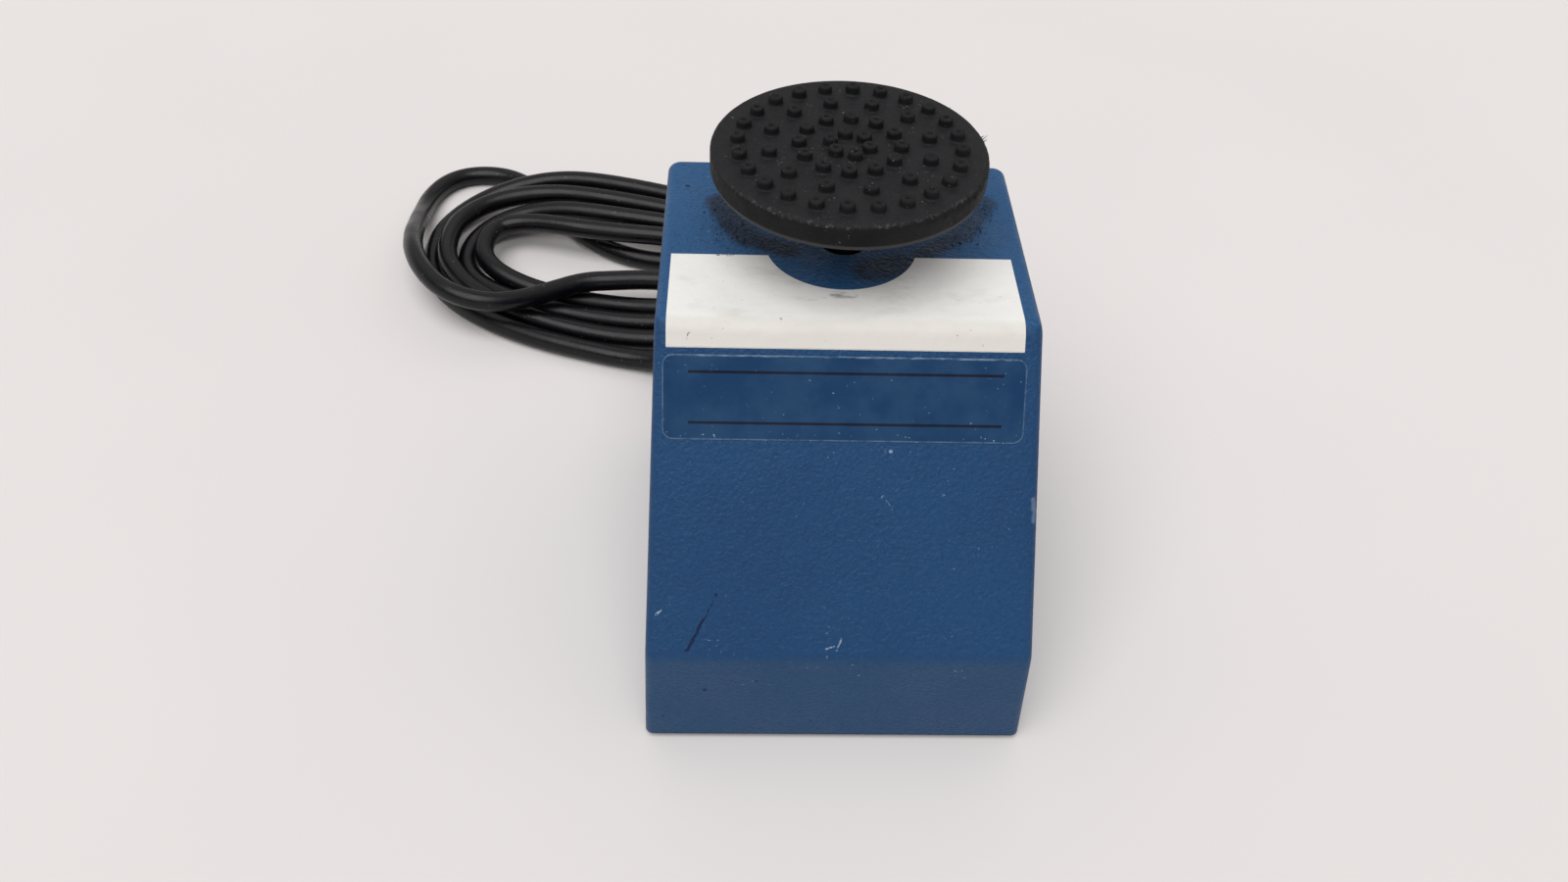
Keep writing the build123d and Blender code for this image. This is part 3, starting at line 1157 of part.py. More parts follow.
terminal_plate = 0.8
ground_seat = plate_top + terminal_plate
ground_drop = terminal_plate + PLATE_THICKNESS + 1
with BuildPart() as ground_screw:
    with Locations((ground_place[0], ground_place[1], ground_seat)):
        add(pan_screw(SMALL_SCREW_RADIUS, ground_drop), rotation=(180, 0, 0))
ground_screw.part.label = "ground_screw"
export_step(ground_screw.part, "parts/ground_screw.step")

lug_length = 9.0
with BuildPart() as ground_lug:
    with BuildSketch(Plane.XY.offset(plate_top)):
        with Locations(ground_place):
            Circle(SMALL_SCREW_RADIUS * 2.2)
            with Locations((0, lug_length / 2)):
                Rectangle(3, lug_length)
            Circle(SMALL_SCREW_RADIUS + HOLE_CLEARANCE, mode=Mode.SUBTRACT)
    extrude(amount=terminal_plate)
ground_lug.part.label = "ground_lug"
export_step(ground_lug.part, "parts/ground_lug.step")


def wire_tube(points, radius, bend):
    """A tube round straight runs that are joined by tangent arcs of one radius."""
    with BuildPart() as tube:
        with BuildLine() as route:
            FilletPolyline(*points, radius=bend)
        with BuildSketch(Plane(origin=route.line @ 0, z_dir=route.line % 0)):
            Circle(radius)
        sweep()
    return tube.part


inner_y = BASE_DEPTH / 2 - draft_run(CORD_EXIT_HEIGHT) - WALL - RELIEF_NUT_THICKNESS
exit_z = FOOT_GAP + CORD_EXIT_HEIGHT
jacket_end = inner_y - INNER_JACKET
with BuildPart() as inner_jacket:
    with BuildSketch(Plane(origin=(CORD_EXIT_X, jacket_end, exit_z), z_dir=(0, 1, 0))):
        Circle(CORD_DIAMETER / 2)
    extrude(amount=INNER_JACKET - 0.3)
inner_jacket.part.label = "inner_jacket"
export_step(inner_jacket.part, "parts/inner_jacket.step")

lug_tip_y = ground_place[1] + lug_length
lug_wire_z = ground_seat + WIRE_RADIUS
with BuildPart() as supply_wires:
    for side in (-1, 1):
        wire_y = block_y + side * WIRE_PITCH - 2
        wire_x = CORD_EXIT_X - 1.2
        rise = side * -1.3
        route = [
            Vector(wire_x, jacket_end, exit_z + rise),
            Vector(wire_x, wire_y, exit_z + rise),
            Vector(block_right + WIRE_STUB, wire_y, block_mid_z + rise),
            Vector(block_right, wire_y, block_mid_z + rise),
        ]
        add(wire_tube(route, WIRE_RADIUS, WIRE_TIGHT_BEND))
    route = [
        Vector(CORD_EXIT_X + 2, jacket_end, exit_z),
        Vector(CORD_EXIT_X + 2, jacket_end - WIRE_STUB, exit_z),
        Vector(ground_place[0], lug_tip_y + WIRE_STUB, lug_wire_z),
        Vector(ground_place[0], lug_tip_y - 3, lug_wire_z),
    ]
    add(wire_tube(route, WIRE_RADIUS, WIRE_TIGHT_BEND))
supply_wires.part.label = "supply_wires"
export_step(supply_wires.part, "parts/supply_wires.step")

floor_wire_z = plate_top + WIRE_RADIUS + 0.3
with BuildPart() as switch_wires:
    for step, height in enumerate(terminal_heights):
        lane = BLOCK_X - BLOCK_LENGTH / 3 + step * WIRE_PITCH
        end = Vector(terminal_x + TERMINAL_LENGTH, pusher_y, height)
        route = [
            Vector(lane, block_front, block_mid_z),
            Vector(lane, block_front - WIRE_STUB, block_mid_z),
            Vector(lane, block_front - 3 * WIRE_STUB, floor_wire_z),
            Vector(lane, pusher_y + WIRE_CLIMB, floor_wire_z),
            Vector(lane - 1, pusher_y, height),
            end,
        ]
        add(wire_tube(route, WIRE_RADIUS, WIRE_BEND))
switch_wires.part.label = "switch_wires"
export_step(switch_wires.part, "parts/switch_wires.step")

winding_bottom = coil_z - barrel_height / 2 - WINDING_DEPTH
winding_lead_y = coil_y + barrel_depth / 2 + WINDING_DEPTH / 2
with BuildPart() as motor_wires:
    for step in range(2):
        lane = BLOCK_X + BLOCK_LENGTH / 6 + step * WIRE_PITCH
        route = [
            Vector(lane, block_front, block_mid_z),
            Vector(lane, block_front - WIRE_STUB, block_mid_z),
            Vector(lane, block_front - 3 * WIRE_STUB, floor_wire_z),
            Vector(lane, winding_lead_y, floor_wire_z),
            Vector(lane, winding_lead_y, winding_bottom),
        ]
        add(wire_tube(route, WIRE_RADIUS, WIRE_BEND))
motor_wires.part.label = "motor_wires"
export_step(motor_wires.part, "parts/motor_wires.step")

# ---- Strain relief and its nut ----
relief_spot = (-CORD_EXIT_X, CORD_EXIT_HEIGHT)
neck_radius = RELIEF_ROOT_RADIUS - RELIEF_CLEARANCE
with BuildPart() as strain_relief:
    with BuildSketch(rear_plane):
        with Locations(relief_spot):
            Circle(neck_radius)
    extrude(amount=-WALL - RELIEF_NUT_THICKNESS - 2)
    with BuildSketch(rear_plane):
        with Locations(relief_spot):
            Circle(RELIEF_FLANGE_RADIUS)
    extrude(amount=RELIEF_FLANGE_THICKNESS)
    fillet(strain_relief.edges().sort_by(Axis.Y)[-1], 0.8)
    with BuildSketch(rear_plane.offset(RELIEF_FLANGE_THICKNESS)):
        with Locations(relief_spot):
            Circle(RELIEF_ROOT_RADIUS)
    with BuildSketch(rear_plane.offset(RELIEF_FLANGE_THICKNESS + RELIEF_LENGTH)):
        with Locations(relief_spot):
            Circle(RELIEF_TIP_RADIUS)
    loft()
    for step in range(RELIEF_GROOVES):
        groove_place = RELIEF_FLANGE_THICKNESS + GROOVE_START + GROOVE_PITCH * step
        with BuildSketch(rear_plane.offset(groove_place)):
            with Locations(relief_spot):
                Circle(RELIEF_ROOT_RADIUS + 1)
                Circle(RELIEF_ROOT_RADIUS - 1.3 - 0.2 * step, mode=Mode.SUBTRACT)
        extrude(amount=GROOVE_WIDTH, mode=Mode.SUBTRACT)
    with Locations((CORD_EXIT_X, inner_y - 0.3 - WALL, exit_z)):
        Box(4 * WALL, 2 * WALL, 4 * WALL, mode=Mode.SUBTRACT)
strain_relief.part.label = "strain_relief"
export_step(strain_relief.part, "parts/strain_relief.step")

with BuildPart() as relief_nut:
    with BuildSketch(rear_plane.offset(-WALL)):
        with Locations(relief_spot):
            RegularPolygon(RELIEF_NUT_RADIUS, 6)
            Circle(neck_radius + THREAD_CLEARANCE, mode=Mode.SUBTRACT)
    extrude(amount=-RELIEF_NUT_THICKNESS)
relief_nut.part.label = "relief_nut"
export_step(relief_nut.part, "parts/relief_nut.step")

# ---- Cord: free lead, hank and tail ----
hank_plane = Plane(origin=(HANK_CENTRE[0], HANK_CENTRE[1], 0)).rotated((0, 0, HANK_TURN))
STATION_WAYS = [hank_plane.y_dir, -hank_plane.x_dir, -hank_plane.y_dir, hank_plane.x_dir]


def station(quarter):
    """Where the spiral stands after a number of quarter turns."""
    place = STATION_PLACES[quarter % 4]
    step = STATION_STEPS[quarter % 4]
    x = place[0] + step[0] * quarter / 4
    y = place[1] + step[1] * quarter / 4
    return hank_plane.from_local_coords(Vector(x, y, place[2]))


def cord_tube(path):
    """The cord's round section along a path."""
    with BuildPart() as tube:
        with BuildSketch(Plane(origin=path @ 0, z_dir=path % 0)):
            Circle(CORD_DIAMETER / 2)
        sweep(path=path)
    return tube.part


def spaced(path, pitch=2.0):
    """Points along a path about one pitch apart."""
    count = int(sum(edge.length for edge in path.edges()) / pitch)
    return [path @ (i / count) for i in range(count + 1)]


relief_tip = rear_plane.from_local_coords(
    Vector(relief_spot[0], relief_spot[1], RELIEF_FLANGE_THICKNESS + RELIEF_LENGTH)
)
hank_entry = Vector(*HANK_ENTRY)
entry_way = Vector(cos(radians(ENTRY_TURN)), sin(radians(ENTRY_TURN)), 0)
hank_start = hank_entry - entry_way * HANK_STUB
lead_points = [
    relief_tip,
    relief_tip + rear_out * LEAD_STRAIGHT,
    Vector(27.6, 139, 15.6),
    Vector(23.4, 152.5, 9.3),
    Vector(14, 163.8, 5),
    Vector(0.3, 170.8, CORD_FLOOR),
    Vector(-14.9, 173.1, CORD_FLOOR),
    Vector(-30.3, 171.2, CORD_FLOOR),
    Vector(-45.4, 167.8, CORD_FLOOR),
    Vector(-60.8, 166.2, CORD_FLOOR),
    Vector(-75.8, 169.4, CORD_FLOOR),
    Vector(-89.3, 177, CORD_FLOOR),
    Vector(-100.4, 187.8, CORD_FLOOR),
    Vector(-109.5, 200.3, CORD_FLOOR),
    Vector(-117.8, 213.4, CORD_FLOOR),
    Vector(-127.9, 225, CORD_FLOOR),
    Vector(-141, 233.1, CORD_FLOOR),
    Vector(-156.2, 233.4, CORD_FLOOR),
    Vector(-168.3, 224.2, CORD_FLOOR),
    Vector(-174.1, 209.9, CORD_FLOOR),
    Vector(-175.3, 194.6, 5.2),
    Vector(-173.7, 179.5, 8.5),
    Vector(-170.9, 164.7, 12.2),
    Vector(-166.3, 150.3, 15.4),
    Vector(-158.7, 137, 17.2),
    Vector(-147.5, 126.4, 16.7),
    Vector(-133.2, 121.2, 15.1),
    Vector(-118.5, 125.1, 14),
    Vector(-106.2, 132.8, 13.5),
    hank_start - entry_way * ENTRY_STRAIGHT,
    hank_start,
]
with BuildLine() as lead_line:
    FilletPolyline(*lead_points, radius=tube_radii(lead_points))
with BuildLine() as hank_line:
    Line(hank_start, hank_entry)
    add_biarc(hank_entry, entry_way, station(0), STATION_WAYS[0])
    for quarter in range(HANK_QUARTERS):
        way = STATION_WAYS[quarter % 4]
        next_way = STATION_WAYS[(quarter + 1) % 4]
        add_biarc(station(quarter), way, station(quarter + 1), next_way)
    last_way = STATION_WAYS[HANK_QUARTERS % 4]
    hank_end = station(HANK_QUARTERS) + last_way * HANK_STUB
    Line(station(HANK_QUARTERS), hank_end)
plug_rear = Vector(*PLUG_PLACE)
neck_rear = plug_rear - Vector(PLUG_NECK, 0, 0)
tail_points = [
    hank_end,
    hank_end + last_way * TAIL_STRAIGHT,
    Vector(-69, 91.4, 6.8),
    neck_rear - Vector(PLUG_STRAIGHT, 0, 0),
    neck_rear,
]
with BuildLine() as tail_line:
    FilletPolyline(*tail_points, radius=tube_radii(tail_points))

cord_pieces = {"cord_lead": lead_line.wire(), "cord_hank": hank_line.wire(), "cord_tail": tail_line.wire()}
stretches = {}
for name, path in cord_pieces.items():
    tube = cord_tube(path)
    tube.label = name
    export_step(tube, f"parts/{name}.step")
    length = sum(edge.length for edge in path.edges())
    ideal = pi * CORD_DIAMETER**2 / 4 * length
    bends = [edge.radius for edge in path.edges().filter_by(GeomType.CIRCLE)]
    stretches[name] = spaced(path)
    gap = least_gap(stretches[name], CORD_DIAMETER, 4 * CORD_DIAMETER)
    print(f"{name}: length {length:.0f} mm, least bend {min(bends):.1f} mm", end=", ")
    print(f"volume ratio {tube.volume / ideal:.4f}, own gap {gap:.2f} mm")
lead_gap = gap_between(stretches["cord_lead"][:-20], stretches["cord_hank"], CORD_DIAMETER)
tail_gap = gap_between(stretches["cord_tail"][20:], stretches["cord_hank"], CORD_DIAMETER)
print(f"lead to hank {lead_gap:.2f} mm, tail to hank {tail_gap:.2f} mm")

# ---- Plug ----
plug_plane = Plane(origin=plug_rear, x_dir=(0, 1, 0), z_dir=(1, 0, 0))
face_plane = plug_plane.offset(PLUG_LENGTH)
earth_spot = (0, -EARTH_PIN_DROP / 2)
blade_height = EARTH_PIN_DROP / 2
with BuildPart() as plug_body:
    with BuildSketch(plug_plane):
        RectangleRounded(PLUG_WIDTH, PLUG_HEIGHT, PLUG_CORNER)
    extrude(amount=PLUG_LENGTH)
    fillet(plug_body.edges().group_by(Axis.X)[0], 3)
    fillet(plug_body.edges().group_by(Axis.X)[-1], 1)
    with BuildSketch(plug_plane):
        Circle(PLUG_NECK_RADIUS)
    with BuildSketch(plug_plane.offset(-PLUG_NECK)):
        Circle(CORD_DIAMETER / 2 + 1.2)
    loft()
    with BuildSketch(face_plane):
        with Locations((0, blade_height)):
            with GridLocations(BLADE_SPACING, 0, 2, 1):
                Rectangle(BLADE_THICKNESS, BLADE_WIDTH)
        with Locations(earth_spot):
            Circle(EARTH_PIN_RADIUS)
    extrude(amount=-BLADE_ROOT, mode=Mode.SUBTRACT)
plug_body.part.label = "plug_body"
export_step(plug_body.part, "parts/plug_body.step")

with BuildPart() as plug_blades:
    with BuildSketch(face_plane.offset(-BLADE_ROOT)):
        with Locations((0, blade_height)):
            with GridLocations(BLADE_SPACING, 0, 2, 1):
                Rectangle(BLADE_THICKNESS, BLADE_WIDTH)
    extrude(amount=BLADE_ROOT + BLADE_LENGTH)
    with BuildSketch(face_plane.offset(-BLADE_ROOT)):
        with Locations(earth_spot):
            Circle(EARTH_PIN_RADIUS)
    extrude(amount=BLADE_ROOT + EARTH_PIN_LENGTH)
    tips = plug_blades.faces().filter_by(Axis.X).sort_by(Axis.X)[-1]
    fillet(tips.edges(), 1.6)
plug_blades.part.label = "plug_blades"
export_step(plug_blades.part, "parts/plug_blades.step")

# ---- Labels ----
label_low_y = slope_end.Y - LABEL_FRONT_DROP * slope_way.Y
label_depth = LABEL_REAR_Y - label_low_y
label_skin = housing_form(-LABEL_THICKNESS)
with BuildPart() as instruction_label:
    add(label_skin)
    add(outer_form, mode=Mode.SUBTRACT)
    with Locations((LABEL_SHIFT, (LABEL_REAR_Y + label_low_y) / 2, case_top)):
        Box(LABEL_WIDTH, label_depth, CASE_HEIGHT, mode=Mode.INTERSECT)
    with Locations((LABEL_SHIFT, CUTOUT_Y, case_top)):
        Cylinder(CUTOUT_RADIUS, WALL, mode=Mode.SUBTRACT)
instruction_label.part.label = "instruction_label"
export_step(instruction_label.part, "parts/instruction_label.step")

nameplate_mid = slope_length - LABEL_FRONT_DROP - NAMEPLATE_GAP - NAMEPLATE_HEIGHT / 2
with BuildPart() as nameplate:
    with BuildSketch(slope_plane):
        with Locations((LABEL_SHIFT, nameplate_mid)):
            RectangleRounded(NAMEPLATE_WIDTH, NAMEPLATE_HEIGHT, NAMEPLATE_CORNER)
    extrude(amount=LABEL_THICKNESS)
nameplate.part.label = "nameplate"
export_step(nameplate.part, "parts/nameplate.step")

with BuildPart() as rear_label:
    with BuildSketch(rear_plane):
        with Locations((0, REAR_LABEL_RISE)):
            RectangleRounded(REAR_LABEL_WIDTH, REAR_LABEL_HEIGHT, 2)
    extrude(amount=LABEL_THICKNESS)
rear_label.part.label = "rear_label"
export_step(rear_label.part, "parts/rear_label.step")
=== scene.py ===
"""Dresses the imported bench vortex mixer: camera, cord, rubber cover, materials and soft studio light.

Every length is in metres, in the frame of the CAD model: the origin is on the table under the middle
of the case, the front faces -Y and up is +Z.
"""
import json
import random
from math import cos, pi, radians, sin, sqrt

import bmesh
import bpy
from mathutils import Euler, Matrix, Vector, noise


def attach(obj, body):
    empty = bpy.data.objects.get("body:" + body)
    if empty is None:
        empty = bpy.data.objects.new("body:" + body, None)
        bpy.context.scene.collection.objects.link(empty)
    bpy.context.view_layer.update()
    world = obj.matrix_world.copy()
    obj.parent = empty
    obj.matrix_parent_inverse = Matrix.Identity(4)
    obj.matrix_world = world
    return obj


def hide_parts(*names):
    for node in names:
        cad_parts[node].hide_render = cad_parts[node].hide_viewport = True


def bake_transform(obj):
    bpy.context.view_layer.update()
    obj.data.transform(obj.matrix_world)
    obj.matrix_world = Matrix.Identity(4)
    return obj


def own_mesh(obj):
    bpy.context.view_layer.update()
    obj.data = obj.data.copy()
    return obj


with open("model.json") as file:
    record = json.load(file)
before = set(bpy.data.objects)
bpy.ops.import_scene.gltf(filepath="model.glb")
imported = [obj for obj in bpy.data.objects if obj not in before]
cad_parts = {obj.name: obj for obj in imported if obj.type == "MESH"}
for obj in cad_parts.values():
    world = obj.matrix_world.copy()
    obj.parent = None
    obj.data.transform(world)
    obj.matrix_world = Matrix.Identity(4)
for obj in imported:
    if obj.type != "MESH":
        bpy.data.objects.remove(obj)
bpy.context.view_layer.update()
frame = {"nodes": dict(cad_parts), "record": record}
MM = 0.001
scene = bpy.context.scene
scene.view_settings.view_transform = "Standard"

# ---- Camera ----
CAMERA_PLACE = Vector((-28.2, -285.9, 330.7)) * MM
CAMERA_YAW = radians(-2.56)
CAMERA_PITCH = radians(43.57)
CAMERA_ROLL = radians(2.55)
FOCAL_PIXELS = 1319.0
IMAGE_WIDTH = 1600.0
SENSOR_WIDTH = 36.0

level_forward = Vector((-sin(CAMERA_YAW), cos(CAMERA_YAW), 0))
forward = level_forward * cos(CAMERA_PITCH) - Vector((0, 0, sin(CAMERA_PITCH)))
level_right = Vector((cos(CAMERA_YAW), sin(CAMERA_YAW), 0))
level_up = level_right.cross(forward)
camera_right = level_right * cos(CAMERA_ROLL) + level_up * sin(CAMERA_ROLL)
camera_up = level_up * cos(CAMERA_ROLL) - level_right * sin(CAMERA_ROLL)
camera_data = bpy.data.cameras.new("camera")
camera_data.sensor_width = SENSOR_WIDTH
camera_data.lens = SENSOR_WIDTH * FOCAL_PIXELS / IMAGE_WIDTH
camera_data.clip_start = 0.01
camera = bpy.data.objects.new("camera", camera_data)
axes = Matrix((camera_right, camera_up, -forward)).transposed()
camera.matrix_world = Matrix.Translation(CAMERA_PLACE) @ axes.to_4x4()
scene.collection.objects.link(camera)
scene.camera = camera

# ---- Cord: free lead, hank and tail on one smooth line ----
CORD_DIAMETER = 8.0
CORD_RADIUS = CORD_DIAMETER / 2
CORD_FLOOR = 4.1
DRAFT = radians(1.9)
REAR_OUT = Vector((0, cos(DRAFT), sin(DRAFT)))
REAR_UP = Vector((0, -sin(DRAFT), cos(DRAFT)))
RELIEF_TIP = Vector((28.0, 67.3, 2.0)) + REAR_UP * 18.0 + REAR_OUT * 36.5
HANK_CENTRE = Vector((-100.0, 159.0, 0.0))
HANK_TURN = radians(-14.0)
HANK_QUARTERS = 15
HANK_STUB = 8.0
# Where the spiral stands after each quarter turn, in the hank's own axes: right, rear, left and front
HANK_STATIONS = [
    (63, 5.5, 13.2),
    (-2, 16, 15),
    (-40, 3.8, 11),
    (11, -18.3, CORD_FLOOR),
    (75, 6.5, 13.2),
    (-4, 28.5, 15),
    (-48.4, 5.2, 4.3),
    (17, -28, CORD_FLOOR),
    (86, 5, 13.2),
    (-6, 40.4, 15),
    (-56.7, 6.8, 11),
    (23, -37.7, CORD_FLOOR),
    (97, 3.5, 13.2),
    (-8, 52.5, 15),
    (-64.7, 9, 4.3),
    (29, -48.1, CORD_FLOOR),
]
HANK_ENTRY = Vector((-72.0, 141.6, 13.2))
ENTRY_WAY = Vector((cos(radians(5.0)), sin(radians(5.0)), 0))
HANK_RIGHT = Vector((cos(HANK_TURN), sin(HANK_TURN), 0))
HANK_REAR = Vector((-sin(HANK_TURN), cos(HANK_TURN), 0))
STATION_WAYS = [HANK_REAR, -HANK_RIGHT, -HANK_REAR, HANK_RIGHT]
POINTS_PER_QUARTER = 5
PLUG_NECK_REAR = Vector((-39.0, 87.0, 12.2))


def station(quarter):
    """Where the spiral stands after a number of quarter turns."""
    x, y, z = HANK_STATIONS[quarter]
    return HANK_CENTRE + HANK_RIGHT * x + HANK_REAR * y + Vector((0, 0, z))


def quarter_turn(start, start_way, end, end_way):
    """Points of one quarter turn, from start up to but without end, on a smooth cubic."""
    chord = end - start
    ways = start_way + end_way
    along = chord.dot(ways)
    spread = 2 * (1 - start_way.dot(end_way))
    reach = (sqrt(along * along + spread * chord.dot(chord)) - along) / spread
    first = start + start_way * reach * 4 / 3
    second = end - end_way * reach * 4 / 3
    points = []
    for step in range(POINTS_PER_QUARTER):
        u = step / POINTS_PER_QUARTER
        v = 1 - u
        points.append(start * v**3 + first * 3 * u * v * v + second * 3 * u * u * v + end * u**3)
    return points


hank_start = HANK_ENTRY - ENTRY_WAY * HANK_STUB
# Control points of the lead in millimetres, from the case to the hank
lead_points = [
    RELIEF_TIP,
    RELIEF_TIP + REAR_OUT * 21.8,
    Vector((27.6, 139, 15.6)),
    Vector((23.4, 152.5, 9.3)),
    Vector((14, 163.8, 5)),
    Vector((0.3, 170.8, CORD_FLOOR)),
    Vector((-14.9, 173.1, CORD_FLOOR)),
    Vector((-30.3, 171.2, CORD_FLOOR)),
    Vector((-45.4, 167.8, CORD_FLOOR)),
    Vector((-60.8, 166.2, CORD_FLOOR)),
    Vector((-75.8, 169.4, CORD_FLOOR)),
    Vector((-89.3, 177, CORD_FLOOR)),
    Vector((-100.4, 187.8, CORD_FLOOR)),
    Vector((-109.5, 200.3, CORD_FLOOR)),
    Vector((-117.8, 213.4, CORD_FLOOR)),
    Vector((-127.9, 225, CORD_FLOOR)),
    Vector((-140, 232, CORD_FLOOR)),
    Vector((-154.2, 232, CORD_FLOOR)),
    Vector((-164.3, 225.3, CORD_FLOOR)),
    Vector((-169.6, 213, CORD_FLOOR)),
    Vector((-170, 198, 6)),
    Vector((-168.6, 182.6, 11)),
    Vector((-166.7, 167, 16)),
    Vector((-163.4, 151.2, 19.6)),
    Vector((-156.6, 136, 20.5)),
    Vector((-146, 123.9, 19.4)),
    Vector((-131.2, 119.2, 17.6)),
    Vector((-118.5, 123.1, 15.5)),
    Vector((-106.2, 131.8, 13.8)),
    hank_start - ENTRY_WAY * 13.5,
    hank_start,
]
hank_points = quarter_turn(HANK_ENTRY, ENTRY_WAY, station(0), STATION_WAYS[0])
for quarter in range(HANK_QUARTERS):
    way = STATION_WAYS[quarter % 4]
    next_way = STATION_WAYS[(quarter + 1) % 4]
    hank_points += quarter_turn(station(quarter), way, station(quarter + 1), next_way)
hank_points.append(station(HANK_QUARTERS))
last_way = STATION_WAYS[HANK_QUARTERS % 4]
hank_end = station(HANK_QUARTERS) + last_way * HANK_STUB
# Control points of the tail in millimetres, from the hank to the plug
tail_points = [
    hank_end,
    Vector((-67.6, 101.3, 4.6)),
    Vector((-58.6, 98.2, 6.4)),
    Vector((-51.4, 88.6, 10.8)),
    PLUG_NECK_REAR,
]
route = lead_points + hank_points + tail_points

cord_curve = bpy.data.curves.new("cord", "CURVE")
cord_curve.dimensions = "3D"
line = cord_curve.splines.new("NURBS")
line.points.add(len(route) - 1)
for point, place in zip(line.points, route):
    point.co = (*(place * MM), 1)
    point.radius = CORD_RADIUS * MM
line.order_u = 3
line.use_endpoint_u = True
line.resolution_u = 8
# The bevel is 1 m deep, so that each point's own radius is the cord's radius
cord_curve.bevel_depth = 1.0
cord_curve.bevel_resolution = 8
cord_curve.use_fill_caps = True
cord = bpy.data.objects.new("mains_cord", cord_curve)
scene.collection.objects.link(cord)
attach(cord, "case")
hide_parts("cord_lead", "cord_hank", "cord_tail")

# ---- Shader helpers ----


def tone(red, green, blue):
    """Linear colour of a tone that is given as it shows on a screen, 0 to 255."""
    linear = []
    for value in (red, green, blue):
        share = value / 255
        linear.append(share / 12.92 if share <= 0.04045 else ((share + 0.055) / 1.055) ** 2.4)
    return (*linear, 1.0)


class Shader:
    """One material's nodes. Places are in metres, in the model's own frame."""

    def __init__(self, name, base, roughness, metallic=0.0, specular=0.5):
        self.material = bpy.data.materials.new(name)
        self.material.use_nodes = True
        self.tree = self.material.node_tree
        self.surface = self.tree.nodes["Principled BSDF"]
        self.place = self.add("ShaderNodeTexCoord").outputs["Object"]
        self.set("Base Color", base)
        self.set("Roughness", roughness)
        self.set("Metallic", metallic)
        self.set("Specular IOR Level", specular)

    def add(self, kind):
        return self.tree.nodes.new(kind)

    def plug(self, socket, value):
        """Gives a socket a fixed value or another socket's output."""
        if isinstance(value, bpy.types.NodeSocket):
            self.tree.links.new(value, socket)
        else:
            socket.default_value = value

    def set(self, name, value):
        self.plug(self.surface.inputs[name], value)

    def math(self, operation, first, second=0.0, clamp=False):
        node = self.add("ShaderNodeMath")
        node.operation = operation
        node.use_clamp = clamp
        self.plug(node.inputs[0], first)
        self.plug(node.inputs[1], second)
        return node.outputs[0]

    def vector(self, operation, first, second=(0.0, 0.0, 0.0)):
        node = self.add("ShaderNodeVectorMath")
        node.operation = operation
        self.plug(node.inputs[0], first)
        self.plug(node.inputs[1], second)
        return node.outputs["Value" if operation in ("DOT_PRODUCT", "LENGTH") else "Vector"]

    def scaled(self, vector, factor):
        node = self.add("ShaderNodeVectorMath")
        node.operation = "SCALE"
        self.plug(node.inputs[0], vector)
        self.plug(node.inputs["Scale"], factor)
        return node.outputs["Vector"]

    def noise(self, size, detail=2.0, roughness=0.5, shift=0.0, stretch=(1.0, 1.0, 1.0)):
        """Smooth noise, 0 to 1, whose grains are about size metres across."""
        place = self.vector("MULTIPLY", self.place, stretch)
        place = self.vector("ADD", place, (shift, shift * 0.7, shift * 0.4))
        node = self.add("ShaderNodeTexNoise")
        self.plug(node.inputs["Vector"], place)
        self.plug(node.inputs["Scale"], 1 / size)
        self.plug(node.inputs["Detail"], detail)
        self.plug(node.inputs["Roughness"], roughness)
        return node.outputs[0]

    def step(self, value, low, high, result_low=0.0, result_high=1.0):
        """Smooth step of a value between two levels."""
        node = self.add("ShaderNodeMapRange")
        node.interpolation_type = "SMOOTHSTEP"
        self.plug(node.inputs["Value"], value)
        self.plug(node.inputs["From Min"], low)
        self.plug(node.inputs["From Max"], high)
        self.plug(node.inputs["To Min"], result_low)
        self.plug(node.inputs["To Max"], result_high)
        return node.outputs["Result"]

    def mix(self, factor, first, second):
        """Mix of two colours."""
        node = self.add("ShaderNodeMix")
        node.data_type = "RGBA"
        self.plug(node.inputs["Factor"], factor)
        self.plug(node.inputs[6], first)
        self.plug(node.inputs[7], second)
        return node.outputs[2]

    def times(self, *factors):
        """Product of several values or masks."""
        result = factors[0]
        for factor in factors[1:]:
            result = self.math("MULTIPLY", result, factor)
        return result

    def over(self, colour, top, *shares):
        """A colour with a top one laid over it, by the product of masks and strengths."""
        return self.mix(self.times(*shares), colour, top)

    def bump(self, height, depth):
        """Relief whose height, 0 to 1, stands for a depth in metres; calls add up."""
        node = self.add("ShaderNodeBump")
        node.inputs["Distance"].default_value = depth
        self.plug(node.inputs["Height"], height)
        before = self.surface.inputs["Normal"]
        if before.is_linked:
            self.tree.links.new(before.links[0].from_socket, node.inputs["Normal"])
        self.set("Normal", node.outputs["Normal"])

    def part(self, axis):
        """One coordinate of the place."""
        node = self.add("ShaderNodeSeparateXYZ")
        self.plug(node.inputs[0], self.place)
        return node.outputs[axis]

    def along(self, origin, way):
        """Distance along a direction from a place."""
        offset = self.vector("SUBTRACT", self.place, tuple(origin))
        return self.vector("DOT_PRODUCT", offset, tuple(way))

    def stroke(self, start, end, width, place=None):
        """1 on a line between two places, falling to 0 towards its width, all in millimetres."""
        start = Vector(start) * MM
        way = Vector(end) * MM - start
        offset = self.vector("SUBTRACT", place or self.place, tuple(start))
        share = self.vector("DOT_PRODUCT", offset, tuple(way / way.dot(way)))
        share = self.math("MULTIPLY", share, 1.0, clamp=True)
        nearest = self.scaled(tuple(way), share)
        distance = self.vector("LENGTH", self.vector("SUBTRACT", offset, nearest))
        return self.step(distance, width * 0.25 * MM, width * 0.6 * MM, 1.0, 0.0)

